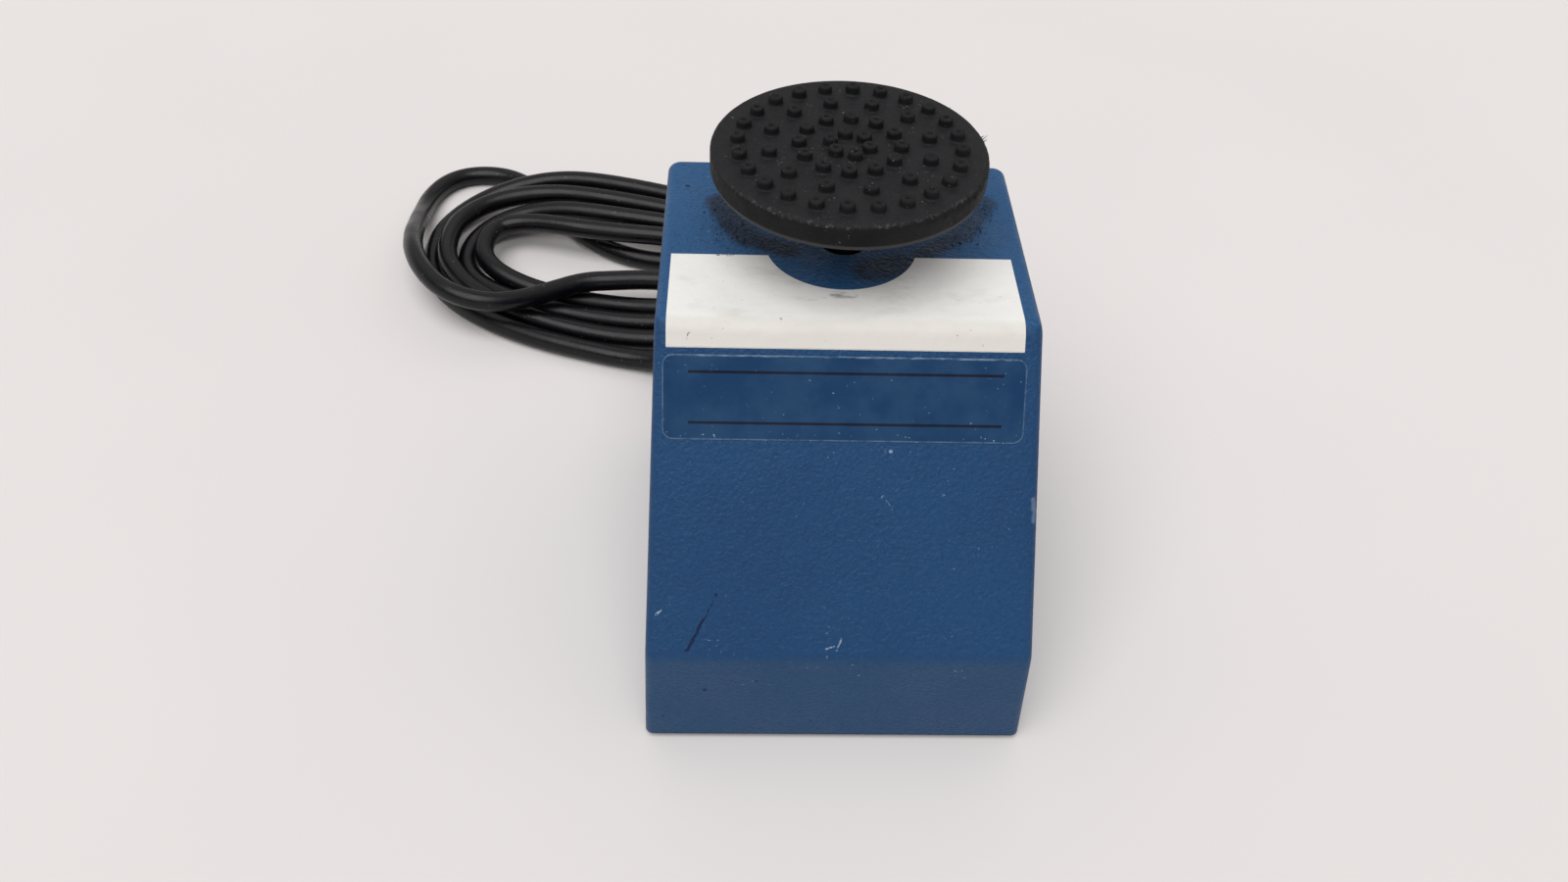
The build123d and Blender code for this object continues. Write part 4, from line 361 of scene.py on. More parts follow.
    def spot(self, centre, radius, place=None):
        """1 inside a small round mark, its centre and radius in millimetres."""
        centre = tuple(Vector(centre) * MM)
        distance = self.vector("LENGTH", self.vector("SUBTRACT", place or self.place, centre))
        return self.step(distance, radius * 0.6 * MM, radius * 1.2 * MM, 1.0, 0.0)

    def jittered(self, size, amount):
        """The place, moved a little by noise, so that marks get ragged edges."""
        node = self.add("ShaderNodeTexNoise")
        self.plug(node.inputs["Vector"], self.place)
        node.inputs["Scale"].default_value = 1 / size
        node.inputs["Detail"].default_value = 2.0
        moved = self.vector("SUBTRACT", node.outputs["Color"], (0.5, 0.5, 0.5))
        return self.vector("ADD", self.place, self.scaled(moved, amount))

    def most(self, masks):
        """The largest of several masks."""
        result = masks[0]
        for mask in masks[1:]:
            result = self.math("MAXIMUM", result, mask)
        return result

    def specks(self, size, share, shift=0.0):
        """Sparse small specks: 1 on them. Share is how much of the surface they take, about."""
        fine = self.noise(size, 1.0, 0.5, shift)
        return self.step(fine, 0.76 - share, 0.80 - share)


# ---- Materials ----
SLOPE_START = Vector((0, -66.1455, 36.8)) * MM
SLOPE_END = Vector((0, -16.538, 117.7)) * MM
SLOPE_WAY = (SLOPE_END - SLOPE_START).normalized()
HEAD_Y = 23.0
HEAD_AXIS = Vector((0, HEAD_Y, 0)) * MM
BLUE = tone(12, 60, 102)


def case_paint():
    """Blue orange-peel paint with a gouge, pale scratches, specks and worn rubber's dust, with a
    painted lighter top, a painted sheen on the low band and painted shade under the head.
    """
    paint = Shader("case_paint", BLUE, 0.42, specular=0.27)
    broad = paint.noise(0.045, 2.0, 0.5, 3.1)
    colour = paint.mix(paint.step(broad, 0.35, 0.7), BLUE, tone(17, 64, 106))
    mottle = paint.noise(0.0016, 3.0, 0.6, 1.7)
    colour = paint.mix(paint.step(mottle, 0.52, 0.80, 0.0, 0.35), colour, tone(44, 84, 124))
    on_top = paint.step(paint.part("Z"), 0.1165, 0.1174)
    # The top is painted a lighter blue than the slope and sides: painted light for the stronger light
    # that falls on it.
    colour = paint.over(colour, tone(36, 86, 132), on_top, 0.8)
    # The low band is painted lighter and greyer: a painted sheen for the reflection it shows at a
    # glancing angle.
    sheen_band = paint.step(paint.part("Z"), 0.0380, 0.0350)
    colour = paint.over(colour, tone(30, 69, 104), sheen_band, 0.6)
    pits = paint.step(paint.noise(0.0011, 3.0, 0.6, 21.0), 0.30, 0.50, 0.42, 0.0)
    colour = paint.mix(pits, colour, tone(10, 44, 84))
    ragged = paint.jittered(0.0022, 0.0012)
    pale = [
        paint.stroke((-4.0, -64.4, 39.7), (-1.6, -64.0, 40.3), 0.5, ragged),
        paint.stroke((-0.9, -64.7, 39.2), (0.3, -62.7, 42.4), 0.5, ragged),
        paint.stroke((8.4, -43.6, 73.9), (10.4, -41.1, 77.8), 0.28, ragged),
        paint.stroke((10.4, -41.1, 77.8), (13.2, -43.3, 74.0), 0.22, ragged),
        paint.stroke((-40.0, -63.1, 41.7), (-33.4, -63.2, 41.6), 0.17, ragged),
        paint.stroke((-51.4, -59.4, 47.9), (-49.6, -58.7, 49.0), 0.7, ragged),
        paint.spot((12.1, -34.7, 88.1), 0.55),
        paint.spot((27.1, -41.0, 77.8), 0.5, ragged),
    ]
    flaked = paint.step(paint.noise(0.0007, 2.0, 0.5, 5.0), 0.35, 0.55)
    colour = paint.over(colour, tone(150, 172, 192), paint.most(pale), flaked, 0.75)
    dust = paint.specks(0.0011, 0.035, 8.0)
    cluster = paint.step(paint.noise(0.014, 2.0, 0.5, 9.0), 0.52, 0.66)
    colour = paint.over(colour, tone(134, 158, 184), dust, cluster, 0.45)
    dark = [
        paint.stroke((-42.9, -64.9, 38.8), (-41.2, -63.2, 41.6), 0.95, ragged),
        paint.stroke((-41.2, -63.2, 41.6), (-38.2, -60.1, 46.6), 0.7, ragged),
        paint.stroke((-38.2, -60.1, 46.6), (-35.1, -56.7, 52.2), 0.36, ragged),
        paint.spot((-34.7, -56.3, 52.9), 0.45, ragged),
        paint.spot((-38.1, -66.6, 23.1), 0.65, ragged),
        paint.spot((-23.1, -66.5, 27.1), 0.4, ragged),
        paint.spot((-6.9, -67.1, 8.4), 0.4, ragged),
        paint.spot((-50.3, -67.0, 10.5), 0.45, ragged),
        paint.spot((-45.5, 48.2, 117.7), 0.75),
        paint.spot((-51.5, 57.8, 117.7), 0.3),
    ]
    gouges = paint.most(dark)
    colour = paint.over(colour, tone(3, 20, 62), gouges, 0.92)
    chip = paint.stroke((52.1, -41.6, 76.8), (52.7, -44.7, 71.7), 2.0, ragged)
    colour = paint.over(colour, tone(120, 140, 165), chip, 0.45)
    flat = paint.vector("MULTIPLY", paint.place, (1.0, 1.0, 0.0))
    # Rubber dust on the top around the head, laid on darker than dust alone so that it also stands for
    # the shade under the disc: partly real dust, partly painted shade.
    dust_and_shade_strokes = [
        paint.stroke((-36.0, 40.0, 0), (-32.0, 29.0, 0), 9.0, flat),
        paint.stroke((-32.0, 29.0, 0), (-27.0, 21.5, 0), 9.5, flat),
        paint.stroke((-27.0, 21.5, 0), (-16.0, 16.0, 0), 8.0, flat),
        paint.times(paint.stroke((43.0, 42.0, 0), (34.5, 25.0, 0), 8.5, flat), 0.75),
        paint.times(paint.stroke((34.5, 25.0, 0), (22.0, 15.0, 0), 7.0, flat), 0.75),
        paint.times(paint.stroke((16.0, 9.5, 0), (7.0, 7.0, 0), 12.0, flat), 0.85),
    ]
    dust_and_shade_near_head = paint.most(dust_and_shade_strokes)
    colour = paint.over(colour, tone(14, 26, 44), dust_and_shade_near_head, on_top, 0.76)
    # Near-black soot specks in the same place, which also deepen the painted shade under the disc.
    soot_and_shade_specks = paint.step(paint.noise(0.0008, 3.0, 0.7, 12.0), 0.47, 0.62)
    patches = paint.step(paint.noise(0.009, 2.0, 0.5, 14.0), 0.30, 0.60, 0.35, 1.0)
    colour = paint.over(colour, tone(7, 10, 18), soot_and_shade_specks, patches, dust_and_shade_near_head, on_top, 0.9)
    paint.set("Base Color", colour)
    rounded = paint.add("ShaderNodeBevel")
    rounded.samples = 4
    rounded.inputs["Radius"].default_value = 0.0022
    paint.set("Normal", rounded.outputs["Normal"])
    grain = paint.noise(0.0011, 3.0, 0.55, 2.0)
    swell = paint.noise(0.006, 2.0, 0.5, 4.0)
    paint.bump(grain, 0.00056)
    paint.bump(swell, 0.00024)
    paint.bump(gouges, -0.0003)
    rough = paint.step(paint.noise(0.02, 3.0, 0.6, 6.0), 0.3, 0.7, 0.36, 0.50)
    paint.set("Roughness", rough)
    return paint.material


def cover_rubber():
    """Matt black rubber, greyed by use, with pale dust on the disc and along the worn front edge, and
    painted shade on its side.
    """
    rubber = Shader("cover_rubber", tone(24, 24, 26), 0.75, specular=0.25)
    fine = rubber.noise(0.0012, 4.0, 0.65, 1.0)
    broad = rubber.noise(0.009, 3.0, 0.6, 2.0)
    colour = rubber.mix(rubber.step(broad, 0.35, 0.7), tone(21, 21, 24), tone(32, 32, 34))
    colour = rubber.mix(rubber.step(fine, 0.45, 0.75, 0.0, 0.5), colour, tone(39, 38, 42))
    raised = rubber.step(rubber.part("Z"), 0.1469, 0.1476)
    colour = rubber.over(colour, tone(13, 13, 16), raised, 0.7)
    # Below the top, the side and underside are painted near-black: painted shade, as they get less
    # light than the top.
    side = rubber.step(rubber.part("Z"), 0.1462, 0.1467, 1.0, 0.0)
    colour = rubber.over(colour, tone(6, 5, 8), side, 0.9)
    dust = rubber.specks(0.0008, 0.06, 5.0)
    clusters = rubber.step(rubber.noise(0.008, 3.0, 0.6, 7.0), 0.48, 0.64)
    colour = rubber.over(colour, tone(118, 116, 116), dust, clusters, 0.55)
    from_axis = rubber.vector("SUBTRACT", rubber.place, tuple(HEAD_AXIS))
    plan = rubber.vector("MULTIPLY", from_axis, (1.0, 1.0, 0.0))
    radius = rubber.vector("LENGTH", plan)
    outer = rubber.step(radius, 0.0362, 0.0372)
    upper = rubber.step(rubber.part("Z"), 0.1458, 0.1464)
    front = rubber.step(rubber.part("Y"), 0.012, -0.006)
    chalk = rubber.step(rubber.noise(0.0012, 3.0, 0.7, 9.0), 0.5, 0.66)
    colour = rubber.over(colour, tone(96, 90, 86), outer, upper, front, chalk, 0.4)
    rubber.set("Base Color", colour)
    rubber.set("Roughness", rubber.step(broad, 0.3, 0.7, 0.62, 0.82))
    rubber.bump(rubber.noise(0.0006, 3.0, 0.6, 3.0), 0.00012)
    rubber.bump(rubber.noise(0.004, 2.0, 0.5, 4.0), 0.0002)
    return rubber.material


def cord_jacket():
    """Satin black jacket with faint scuffs and a little dust."""
    jacket = Shader("cord_jacket", tone(9, 9, 12), 0.3, specular=0.3)
    scuff = jacket.noise(0.006, 4.0, 0.65, 1.5)
    colour = jacket.mix(jacket.step(scuff, 0.5, 0.8), tone(7, 7, 11), tone(16, 15, 19))
    dust = jacket.specks(0.0016, 0.02, 3.0)
    colour = jacket.over(colour, tone(120, 118, 116), dust, 0.35)
    jacket.set("Base Color", colour)
    jacket.set("Roughness", jacket.step(jacket.noise(0.010, 3.0, 0.6, 2.5), 0.3, 0.7, 0.24, 0.38))
    jacket.bump(jacket.noise(0.0015, 2.0, 0.5, 5.0), 0.00005)
    return jacket.material


def label_film():
    """White vinyl, faintly smudged where hands wear it, with slight ripples and a few dark specks, and
    painted shade where it wraps down the slope.
    """
    film = Shader("label_film", tone(236, 235, 232), 0.38, specular=0.4)
    smear = film.noise(0.010, 4.0, 0.65, 2.0, stretch=(0.45, 1.0, 1.0))
    colour = film.mix(film.step(smear, 0.52, 0.80, 0.0, 0.6), tone(237, 236, 233), tone(205, 200, 191))
    # The part of the label that wraps down the slope is painted greyer: painted shade, as the slope
    # gets less light than the top.
    slope_shade = film.step(film.part("Y"), -0.0130, -0.0170)
    colour = film.over(colour, tone(208, 204, 197), slope_shade, 0.8)
    near_cutout = film.stroke((-24.0, -3.5, 117.9), (26.0, -3.0, 117.9), 12.0)
    fingers = film.step(film.noise(0.004, 4.0, 0.7, 4.0, stretch=(0.35, 1.0, 1.0)), 0.5, 0.72)
    colour = film.over(colour, tone(120, 116, 112), near_cutout, fingers, 0.2)
    ragged = film.jittered(0.0018, 0.0014)
    marks = film.most([
        film.stroke((-40.9, -16.4, 117.8), (-41.3, -17.2, 117.0), 1.0, ragged),
        film.stroke((-42.2, -18.0, 115.4), (-43.4, -19.2, 113.4), 0.4, ragged),
        film.spot((-36.0, -11.2, 117.9), 0.45, ragged),
        film.spot((-18.5, -15.2, 117.9), 0.4, ragged),
        film.stroke((-36.0, 12.9, 117.9), (-31.5, 12.9, 117.9), 0.8, ragged),
    ])
    rubbed = film.stroke((-3.4, -4.6, 117.9), (1.2, -4.4, 117.9), 3.4)
    streaks = film.step(film.noise(0.0016, 3.0, 0.65, 14.0, stretch=(0.22, 1.0, 1.0)), 0.36, 0.66)
    colour = film.over(colour, tone(96, 92, 90), rubbed, streaks, 0.7)
    patchy = film.step(film.noise(0.0012, 3.0, 0.6, 6.0), 0.40, 0.62)
    colour = film.over(colour, tone(70, 66, 64), marks, patchy, 0.85)
    grime = film.specks(0.0012, 0.005, 11.0)
    colour = film.over(colour, tone(110, 105, 98), grime, 0.5)
    film.set("Base Color", colour)
    film.set("Roughness", film.step(smear, 0.3, 0.7, 0.32, 0.48))
    film.bump(film.noise(0.009, 2.0, 0.5, 7.0), 0.0005)
    film.bump(film.noise(0.0018, 2.0, 0.5, 8.0), 0.00006)
    return film.material


# Places on the nameplate in metres, up the slope from the lower bend and across from the middle
PLATE_RISE = 0.0744
PLATE_HALF_HEIGHT = 0.0116
PLATE_HALF_WIDTH = 0.0489
PLATE_SHIFT = 0.0009
PLATE_CORNER = 0.0030
RULE_RISES = (0.0813, 0.0675)
RULE_HALF_LENGTH = 0.0422
RULE_HALF_WIDTH = 0.00030
RULE_SHIFT = 0.0005


def nameplate_film():
    """Clear film over the paint: a shade darker, a pale scuffed outline and two thin navy rules."""
    film = Shader("nameplate_film", tone(22, 62, 100), 0.36, specular=0.3)
    cloud = film.noise(0.012, 3.0, 0.6, 2.0)
    colour = film.mix(film.step(cloud, 0.35, 0.7), tone(12, 53, 91), tone(20, 61, 98))
    rise = film.along(SLOPE_START, SLOPE_WAY)
    across = film.math("ADD", film.part("X"), PLATE_SHIFT)
    rules = []
    for level in RULE_RISES:
        distance = film.math("ABSOLUTE", film.math("SUBTRACT", rise, level))
        rules.append(film.step(distance, RULE_HALF_WIDTH, RULE_HALF_WIDTH + 0.00016, 1.0, 0.0))
    from_middle = film.math("ABSOLUTE", film.math("ADD", film.part("X"), RULE_SHIFT))
    reach = film.step(from_middle, RULE_HALF_LENGTH, RULE_HALF_LENGTH + 0.0003, 1.0, 0.0)
    above = film.math("SUBTRACT", rise, PLATE_RISE)
    side = film.math("SUBTRACT", film.math("ABSOLUTE", across), PLATE_HALF_WIDTH - PLATE_CORNER)
    height = film.math("SUBTRACT", film.math("ABSOLUTE", above), PLATE_HALF_HEIGHT - PLATE_CORNER)
    combine = film.add("ShaderNodeCombineXYZ")
    film.plug(combine.inputs[0], film.math("MAXIMUM", side, 0.0))
    film.plug(combine.inputs[1], film.math("MAXIMUM", height, 0.0))
    inside = film.math("SUBTRACT", PLATE_CORNER, film.vector("LENGTH", combine.outputs[0]))
    outline = film.step(inside, 0.00022, 0.00050, 1.0, 0.0)
    broken = film.step(film.noise(0.003, 3.0, 0.7, 5.0), 0.30, 0.60, 0.25, 1.0)
    colour = film.over(colour, tone(118, 144, 174), outline, broken, 0.36)
    below_edge = film.math("SUBTRACT", rise, PLATE_RISE + PLATE_HALF_HEIGHT - 0.0003)
    top_edge = film.step(film.math("ABSOLUTE", below_edge), 0.00012, 0.00042, 1.0, 0.0)
    scuffs = film.step(film.noise(0.0014, 4.0, 0.7, 7.0, stretch=(0.3, 1.0, 1.0)), 0.42, 0.62)
    colour = film.over(colour, tone(140, 156, 174), top_edge, scuffs, 0.5)
    low = film.step(rise, 0.0655, 0.0640)
    flecks = film.specks(0.0009, 0.05, 9.0)
    gathered = film.step(film.noise(0.006, 2.0, 0.5, 10.0), 0.45, 0.6)
    colour = film.over(colour, tone(160, 178, 196), low, flecks, gathered, 0.8)
    colour = film.over(colour, tone(140, 160, 184), film.specks(0.0010, 0.01, 13.0), 0.5)
    colour = film.over(colour, tone(6, 9, 30), film.most(rules), reach, 0.95)
    film.set("Base Color", colour)
    film.set("Roughness", film.step(cloud, 0.3, 0.7, 0.28, 0.44))
    film.bump(film.noise(0.0016, 3.0, 0.55, 4.0), 0.00006)
    film.bump(film.noise(0.008, 2.0, 0.5, 6.0), 0.0002)
    return film.material


def metal(name, base, roughness, grain, stretch=(1.0, 1.0, 1.0), depth=0.00004):
    """Metal with a grain of its own size, duller and brighter in patches."""
    shader = Shader(name, base, roughness, metallic=1.0)
    patches = shader.noise(0.008, 3.0, 0.6, 1.0)
    darker = tuple(value * 0.78 for value in base[:3]) + (1.0,)
    shader.set("Base Color", shader.mix(shader.step(patches, 0.35, 0.7), darker, base))
    lines = shader.noise(grain, 3.0, 0.6, 2.0, stretch)
    shader.set("Roughness", shader.step(lines, 0.3, 0.7, roughness * 0.8, min(roughness * 1.3, 1.0)))
    shader.bump(lines, depth)
    return shader.material


def plastic(name, base, roughness, grain=0.0012, depth=0.00004, specular=0.5):
    """Moulded plastic or rubber with a fine grain and faint patches."""
    shader = Shader(name, base, roughness, specular=specular)
    patches = shader.noise(0.007, 3.0, 0.6, 1.0)
    lighter = tuple(min(value * 1.25 + 0.004, 1.0) for value in base[:3]) + (1.0,)
    shader.set("Base Color", shader.mix(shader.step(patches, 0.4, 0.75, 0.0, 0.6), base, lighter))
    duller = min(roughness * 1.15, 1.0)
    shader.set("Roughness", shader.step(patches, 0.3, 0.7, roughness * 0.85, duller))
    shader.bump(shader.noise(grain, 3.0, 0.6, 2.0), depth)
    return shader.material


def banded(name, base, roughness, axis, pitch, metallic):
    """Stacked sheets or wound wire: fine ridges a pitch apart along one axis."""
    shader = Shader(name, base, roughness, metallic=metallic)
    turn = shader.math("MULTIPLY", shader.part(axis), 2 * pi / pitch)
    ridge = shader.step(shader.math("SINE", turn), -0.9, 0.9)
    darker = tuple(value * 0.6 for value in base[:3]) + (1.0,)
    patches = shader.noise(0.006, 2.0, 0.5, 1.0)
    colour = shader.mix(ridge, darker, base)
    shader.set("Base Color", shader.mix(shader.step(patches, 0.5, 0.8, 0.0, 0.5), colour, darker))
    shader.bump(ridge, pitch * 0.25)
    return shader.material


def wire_insulation():
    """Glossy white insulation of the wires, dulled by a little dirt."""
    shader = Shader("wire_insulation", tone(205, 204, 198), 0.3)
    dirt = shader.noise(0.004, 3.0, 0.6, 1.0)
    dulled = shader.step(dirt, 0.5, 0.8, 0.0, 0.5)
    shader.set("Base Color", shader.mix(dulled, tone(206, 205, 199), tone(176, 172, 160)))
    shader.bump(shader.noise(0.0012, 2.0, 0.5, 2.0), 0.00003)
    return shader.material


finishes = {
    "case_paint": case_paint(),
    "black_rubber": plastic("black_rubber", tone(30, 30, 32), 0.72, 0.0009, 0.00008, 0.35),
    "black_cord": cord_jacket(),
    "label_film": label_film(),
    "nameplate_film": nameplate_film(),
    "head_casting": plastic("head_casting", tone(44, 44, 47), 0.55, 0.0010, 0.00006, 0.45),
    "plated_steel": metal("plated_steel", tone(196, 199, 198), 0.34, 0.0009),
    "sheet_steel": metal("sheet_steel", tone(176, 178, 180), 0.42, 0.0008, (0.06, 1.0, 1.0)),
    "lamination_steel": banded("lamination_steel", tone(120, 122, 126), 0.5, "Z", 0.0005, 0.8),
    "bearing_steel": metal("bearing_steel", tone(214, 215, 216), 0.14, 0.0006, depth=0.00001),
    "cast_aluminium": metal("cast_aluminium", tone(190, 191, 193), 0.5, 0.0010, depth=0.00010),
    "cast_iron": metal("cast_iron", tone(96, 97, 99), 0.55, 0.0011, depth=0.00010),
    "copper": banded("copper", tone(186, 104, 62), 0.35, "X", 0.0005, 0.9),
    "bronze": metal("bronze", tone(170, 132, 84), 0.5, 0.0005, depth=0.00006),
    "brass": metal("brass", tone(206, 176, 112), 0.28, 0.0012),
    "black_nylon": plastic("black_nylon", tone(34, 34, 36), 0.5),
    "white_nylon": plastic("white_nylon", tone(222, 220, 212), 0.45),
    "ivory_plastic": plastic("ivory_plastic", tone(206, 198, 172), 0.45),
    "wire_insulation": wire_insulation(),
}
finish_of = {part["node"]: part["material_slot"] for part in frame["record"]["subparts"]}
for name, node in frame["nodes"].items():
    for held in node.material_slots:
        held.link = "OBJECT"
        held.material = finishes[finish_of[name]]

# ---- Rubber cover of the head, with its nubs ----
COVER_RADIUS = 38.1
COVER_INNER = 36.0
COVER_BOTTOM = 140.8
COVER_SEAT = 143.8
COVER_TOP = 146.8
COVER_STEPS = 288
WORN_WIDTH = 1.3
WORN_HEIGHT = 1.2
NUB_RING_RADII = [30.6, 22.5, 13.9, 5.55]
NUB_COUNTS = [24, 12, 12, 6]
NUB_ANGLES = [10.8, 11.4, 26.0, 102.0]
NUB_STEPS = 20
NUB_LEAN = radians(2.5)
NUB_GRAIN = 0.9
# One seeded generator serves the nubs and then the crumbs
chance = random.Random(31)


def wear(angle, x, y):
    """How much of the cover's rim is rubbed away, 0 to 1: most along the front right."""
    facing = max(0.0, cos(angle - radians(-42)))
    rough = noise.noise(Vector((x * 0.35, y * 0.35, 2.0))) * 0.5 + 0.5
    return facing**2 * (0.45 + 0.55 * rough)


def revolve(mesh, profile, steps, move):
    """Adds a closed ring of quads: profile is (radius, height) pairs, and move bends each point."""
    rings = []
    for radius, height in profile:
        if radius == 0:
            rings.append([mesh.verts.new(move(0.0, 0.0, height))] * steps)
            continue
        ring = []
        for step in range(steps):
            angle = 2 * pi * step / steps
            ring.append(mesh.verts.new(move(angle, radius, height)))
        rings.append(ring)
    for lower, upper in zip(rings, rings[1:]):
        for step in range(steps):
            after = (step + 1) % steps
            corners = [lower[step], lower[after], upper[after], upper[step]]
            unique = list(dict.fromkeys(corners))
            if len(unique) > 2:
                mesh.faces.new(unique)


def cover_point(angle, radius, height):
    """A point of the cover, in metres, with the slight unevenness of worn rubber."""
    x = radius * cos(angle)
    y = radius * sin(angle)
    loss = wear(angle, x, y)
    grain = noise.noise(Vector((x * 0.9, y * 0.9, height * 0.9)))
    swell = noise.noise(Vector((x * 0.12, y * 0.12, 7.0)))
    into_rim = radius - (COVER_RADIUS - WORN_WIDTH)
    if into_rim > 0 and height > COVER_TOP - WORN_HEIGHT:
        height -= loss * (0.75 + 0.5 * grain) * into_rim / WORN_WIDTH
        radius -= loss * 0.35 * (0.6 + grain)
    elif height > 145.0:
        height += 0.05 * swell + 0.02 * grain
    if radius > 37.5:
        radius += 0.05 * grain - 0.05 + 0.03 * swell
    return Vector((radius * cos(angle), HEAD_Y + radius * sin(angle), height)) * MM


cover_mesh = bmesh.new()
cover_profile = [
    (0, COVER_SEAT),
    (COVER_INNER, COVER_SEAT),
    (COVER_INNER, COVER_BOTTOM),
    (COVER_RADIUS - 0.4, COVER_BOTTOM),
    (COVER_RADIUS - 0.1, COVER_BOTTOM + 0.15),
    (COVER_RADIUS, COVER_BOTTOM + 0.5),
    (COVER_RADIUS, COVER_BOTTOM + 1.6),
    (COVER_RADIUS, COVER_BOTTOM + 3.2),
    (COVER_RADIUS, COVER_TOP - 1.5),
    (COVER_RADIUS - 0.02, COVER_TOP - 0.8),
    (COVER_RADIUS - 0.13, COVER_TOP - 0.4),
    (COVER_RADIUS - 0.35, COVER_TOP - 0.15),
    (COVER_RADIUS - 0.7, COVER_TOP - 0.02),
]
# The flat top has rings close together near the rim, where it is worn
for radius in (36.9, 36.0, 34.5, 32.0, 28.0, 23.0, 18.0, 12.0, 6.0, 0):
    cover_profile.append((radius, COVER_TOP))
revolve(cover_mesh, cover_profile, COVER_STEPS, cover_point)

# Radius and height above the disc, from the foot up the side, over the rim and into the dimple
NUB_PROFILE = [
    (2.75, -0.25),
    (2.45, 0.02),
    (2.22, 0.16),
    (2.12, 0.42),
    (2.09, 1.1),
    (2.07, 1.8),
    (2.02, 2.25),
    (1.86, 2.48),
    (1.55, 2.58),
    (1.10, 2.57),
    (0.72, 2.50),
    (0.56, 2.32),
    (0.50, 1.95),
    (0, 1.80),
]
for ring_radius, count, first in zip(NUB_RING_RADII, NUB_COUNTS, NUB_ANGLES):
    for index in range(count):
        heading = radians(first + 360 * index / count)
        place = Vector((ring_radius * cos(heading), HEAD_Y + ring_radius * sin(heading), COVER_TOP))
        lean = [chance.uniform(-NUB_LEAN, NUB_LEAN) for way in range(2)]
        tilt = Euler((lean[0], lean[1], 0)).to_matrix()
        height_scale = chance.uniform(0.93, 1.0)
        width_scale = chance.uniform(0.97, 1.02)
        dimple = chance.uniform(0.75, 1.25) if chance.random() < 0.86 else 0.25
        seed = chance.uniform(0, 90)

        def nub_point(angle, radius, height):
            local = Vector((cos(angle) * radius, sin(angle) * radius, height))
            lump = noise.noise(local * NUB_GRAIN + Vector((0, 0, seed)))
            wide = radius * width_scale + (0.09 * lump if height > 0.3 else 0.0)
            tall = height * height_scale
            if radius < 0.8:
                tall = 2.5 * height_scale - (2.5 - height) * dimple
            elif height > 2.2:
                tall += 0.10 * lump
            return (place + tilt @ Vector((wide * cos(angle), wide * sin(angle), tall))) * MM

        revolve(cover_mesh, NUB_PROFILE, NUB_STEPS, nub_point)

# Torn slivers of rubber on the rim, at the right: heading in degrees, length and rise of the tip
SLIVERS = [
    (8.5, 1.5, 0.5),
    (10.2, 1.9, 0.9),
    (12.0, 1.3, 0.2),
    (38.0, 0.7, 0.2),
    (-36.0, 0.8, -0.2),
]
SLIVER_ROOT = Vector((0, HEAD_Y, COVER_TOP - 0.5))
for heading_degrees, length, lift in SLIVERS:
    heading = radians(heading_degrees)
    outward = Vector((cos(heading), sin(heading), 0))
    aside = Vector((-sin(heading), cos(heading), 0))
    root = SLIVER_ROOT + outward * (COVER_RADIUS - 0.4)
    tip = root + outward * length + aside * length * 0.5 + Vector((0, 0, lift))
    ring = [
        cover_mesh.verts.new((root + aside * 0.22) * MM),
        cover_mesh.verts.new((root - aside * 0.22) * MM),
        cover_mesh.verts.new((root + Vector((0, 0, 0.25))) * MM),
    ]
    point = cover_mesh.verts.new(tip * MM)
    for one in range(3):
        cover_mesh.faces.new((ring[one], ring[(one + 1) % 3], point))
    cover_mesh.faces.new((ring[2], ring[1], ring[0]))

bmesh.ops.recalc_face_normals(cover_mesh, faces=cover_mesh.faces)
cover_data = bpy.data.meshes.new("rubber_cover")
cover_mesh.to_mesh(cover_data)
cover_mesh.free()
cover_data.shade_smooth()
cover = bpy.data.objects.new("rubber_cover", cover_data)
scene.collection.objects.link(cover)
cover_data.materials.append(cover_rubber())
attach(cover, "head")
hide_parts("platform_cover")

# ---- Crumbs of worn rubber on the case's top ----
crumb_mesh = bmesh.new()
CASE_TOP = 117.7
# Where crumbs lie: x, y, spread and how many
CRUMB_PILES = [
    (-35.5, 36.0, 3.2, 70),
    (-33.0, 27.0, 3.0, 80),
    (-27.0, 21.0, 3.0, 30),
    (34.0, 24.0, 3.2, 45),
    (39.0, 31.0, 3.0, 40),
    (44.0, 38.0, 2.4, 30),
    (-41.0, 20.0, 6.0, 16),
    (42.0, 20.0, 6.0, 10),
]
for pile_x, pile_y, spread, count in CRUMB_PILES:
    for index in range(count):
        x = chance.gauss(pile_x, spread)
        y = chance.gauss(pile_y, spread)
        size = chance.uniform(0.08, 0.26) * (1.7 if chance.random() < 0.1 else 1.0)
        if not (-49 < x < 49 and 14.0 < y < 56):
            continue
        turn = Euler([chance.uniform(0, 6) for axis in range(3)]).to_matrix().to_4x4()
        squash = Matrix.Diagonal((1.0, chance.uniform(0.5, 1.0), chance.uniform(0.4, 0.8), 1.0))
        spot = Matrix.Translation(Vector((x, y, CASE_TOP + size * 0.3)) * MM)
        shape = spot @ turn @ squash
        bmesh.ops.create_icosphere(crumb_mesh, subdivisions=1, radius=size * MM, matrix=shape)
for vertex in crumb_mesh.verts:
    vertex.co += noise.noise_vector(vertex.co * 2500.0) * 0.00006
    vertex.co.z = max(vertex.co.z, CASE_TOP * MM)
crumb_data = bpy.data.meshes.new("rubber_crumbs")
crumb_mesh.to_mesh(crumb_data)
crumb_mesh.free()
crumbs = bpy.data.objects.new("rubber_crumbs", crumb_data)
scene.collection.objects.link(crumbs)
crumb_data.materials.append(finishes["black_rubber"])
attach(crumbs, "case")

cord_curve.materials.append(finishes["black_cord"])

# ---- Hidden springs, leads and boot, as pieces of their own in place of their nodes ----
SPRING_SEAT_Z = 0.0087
LEAD_SEAT_Z = 0.0088


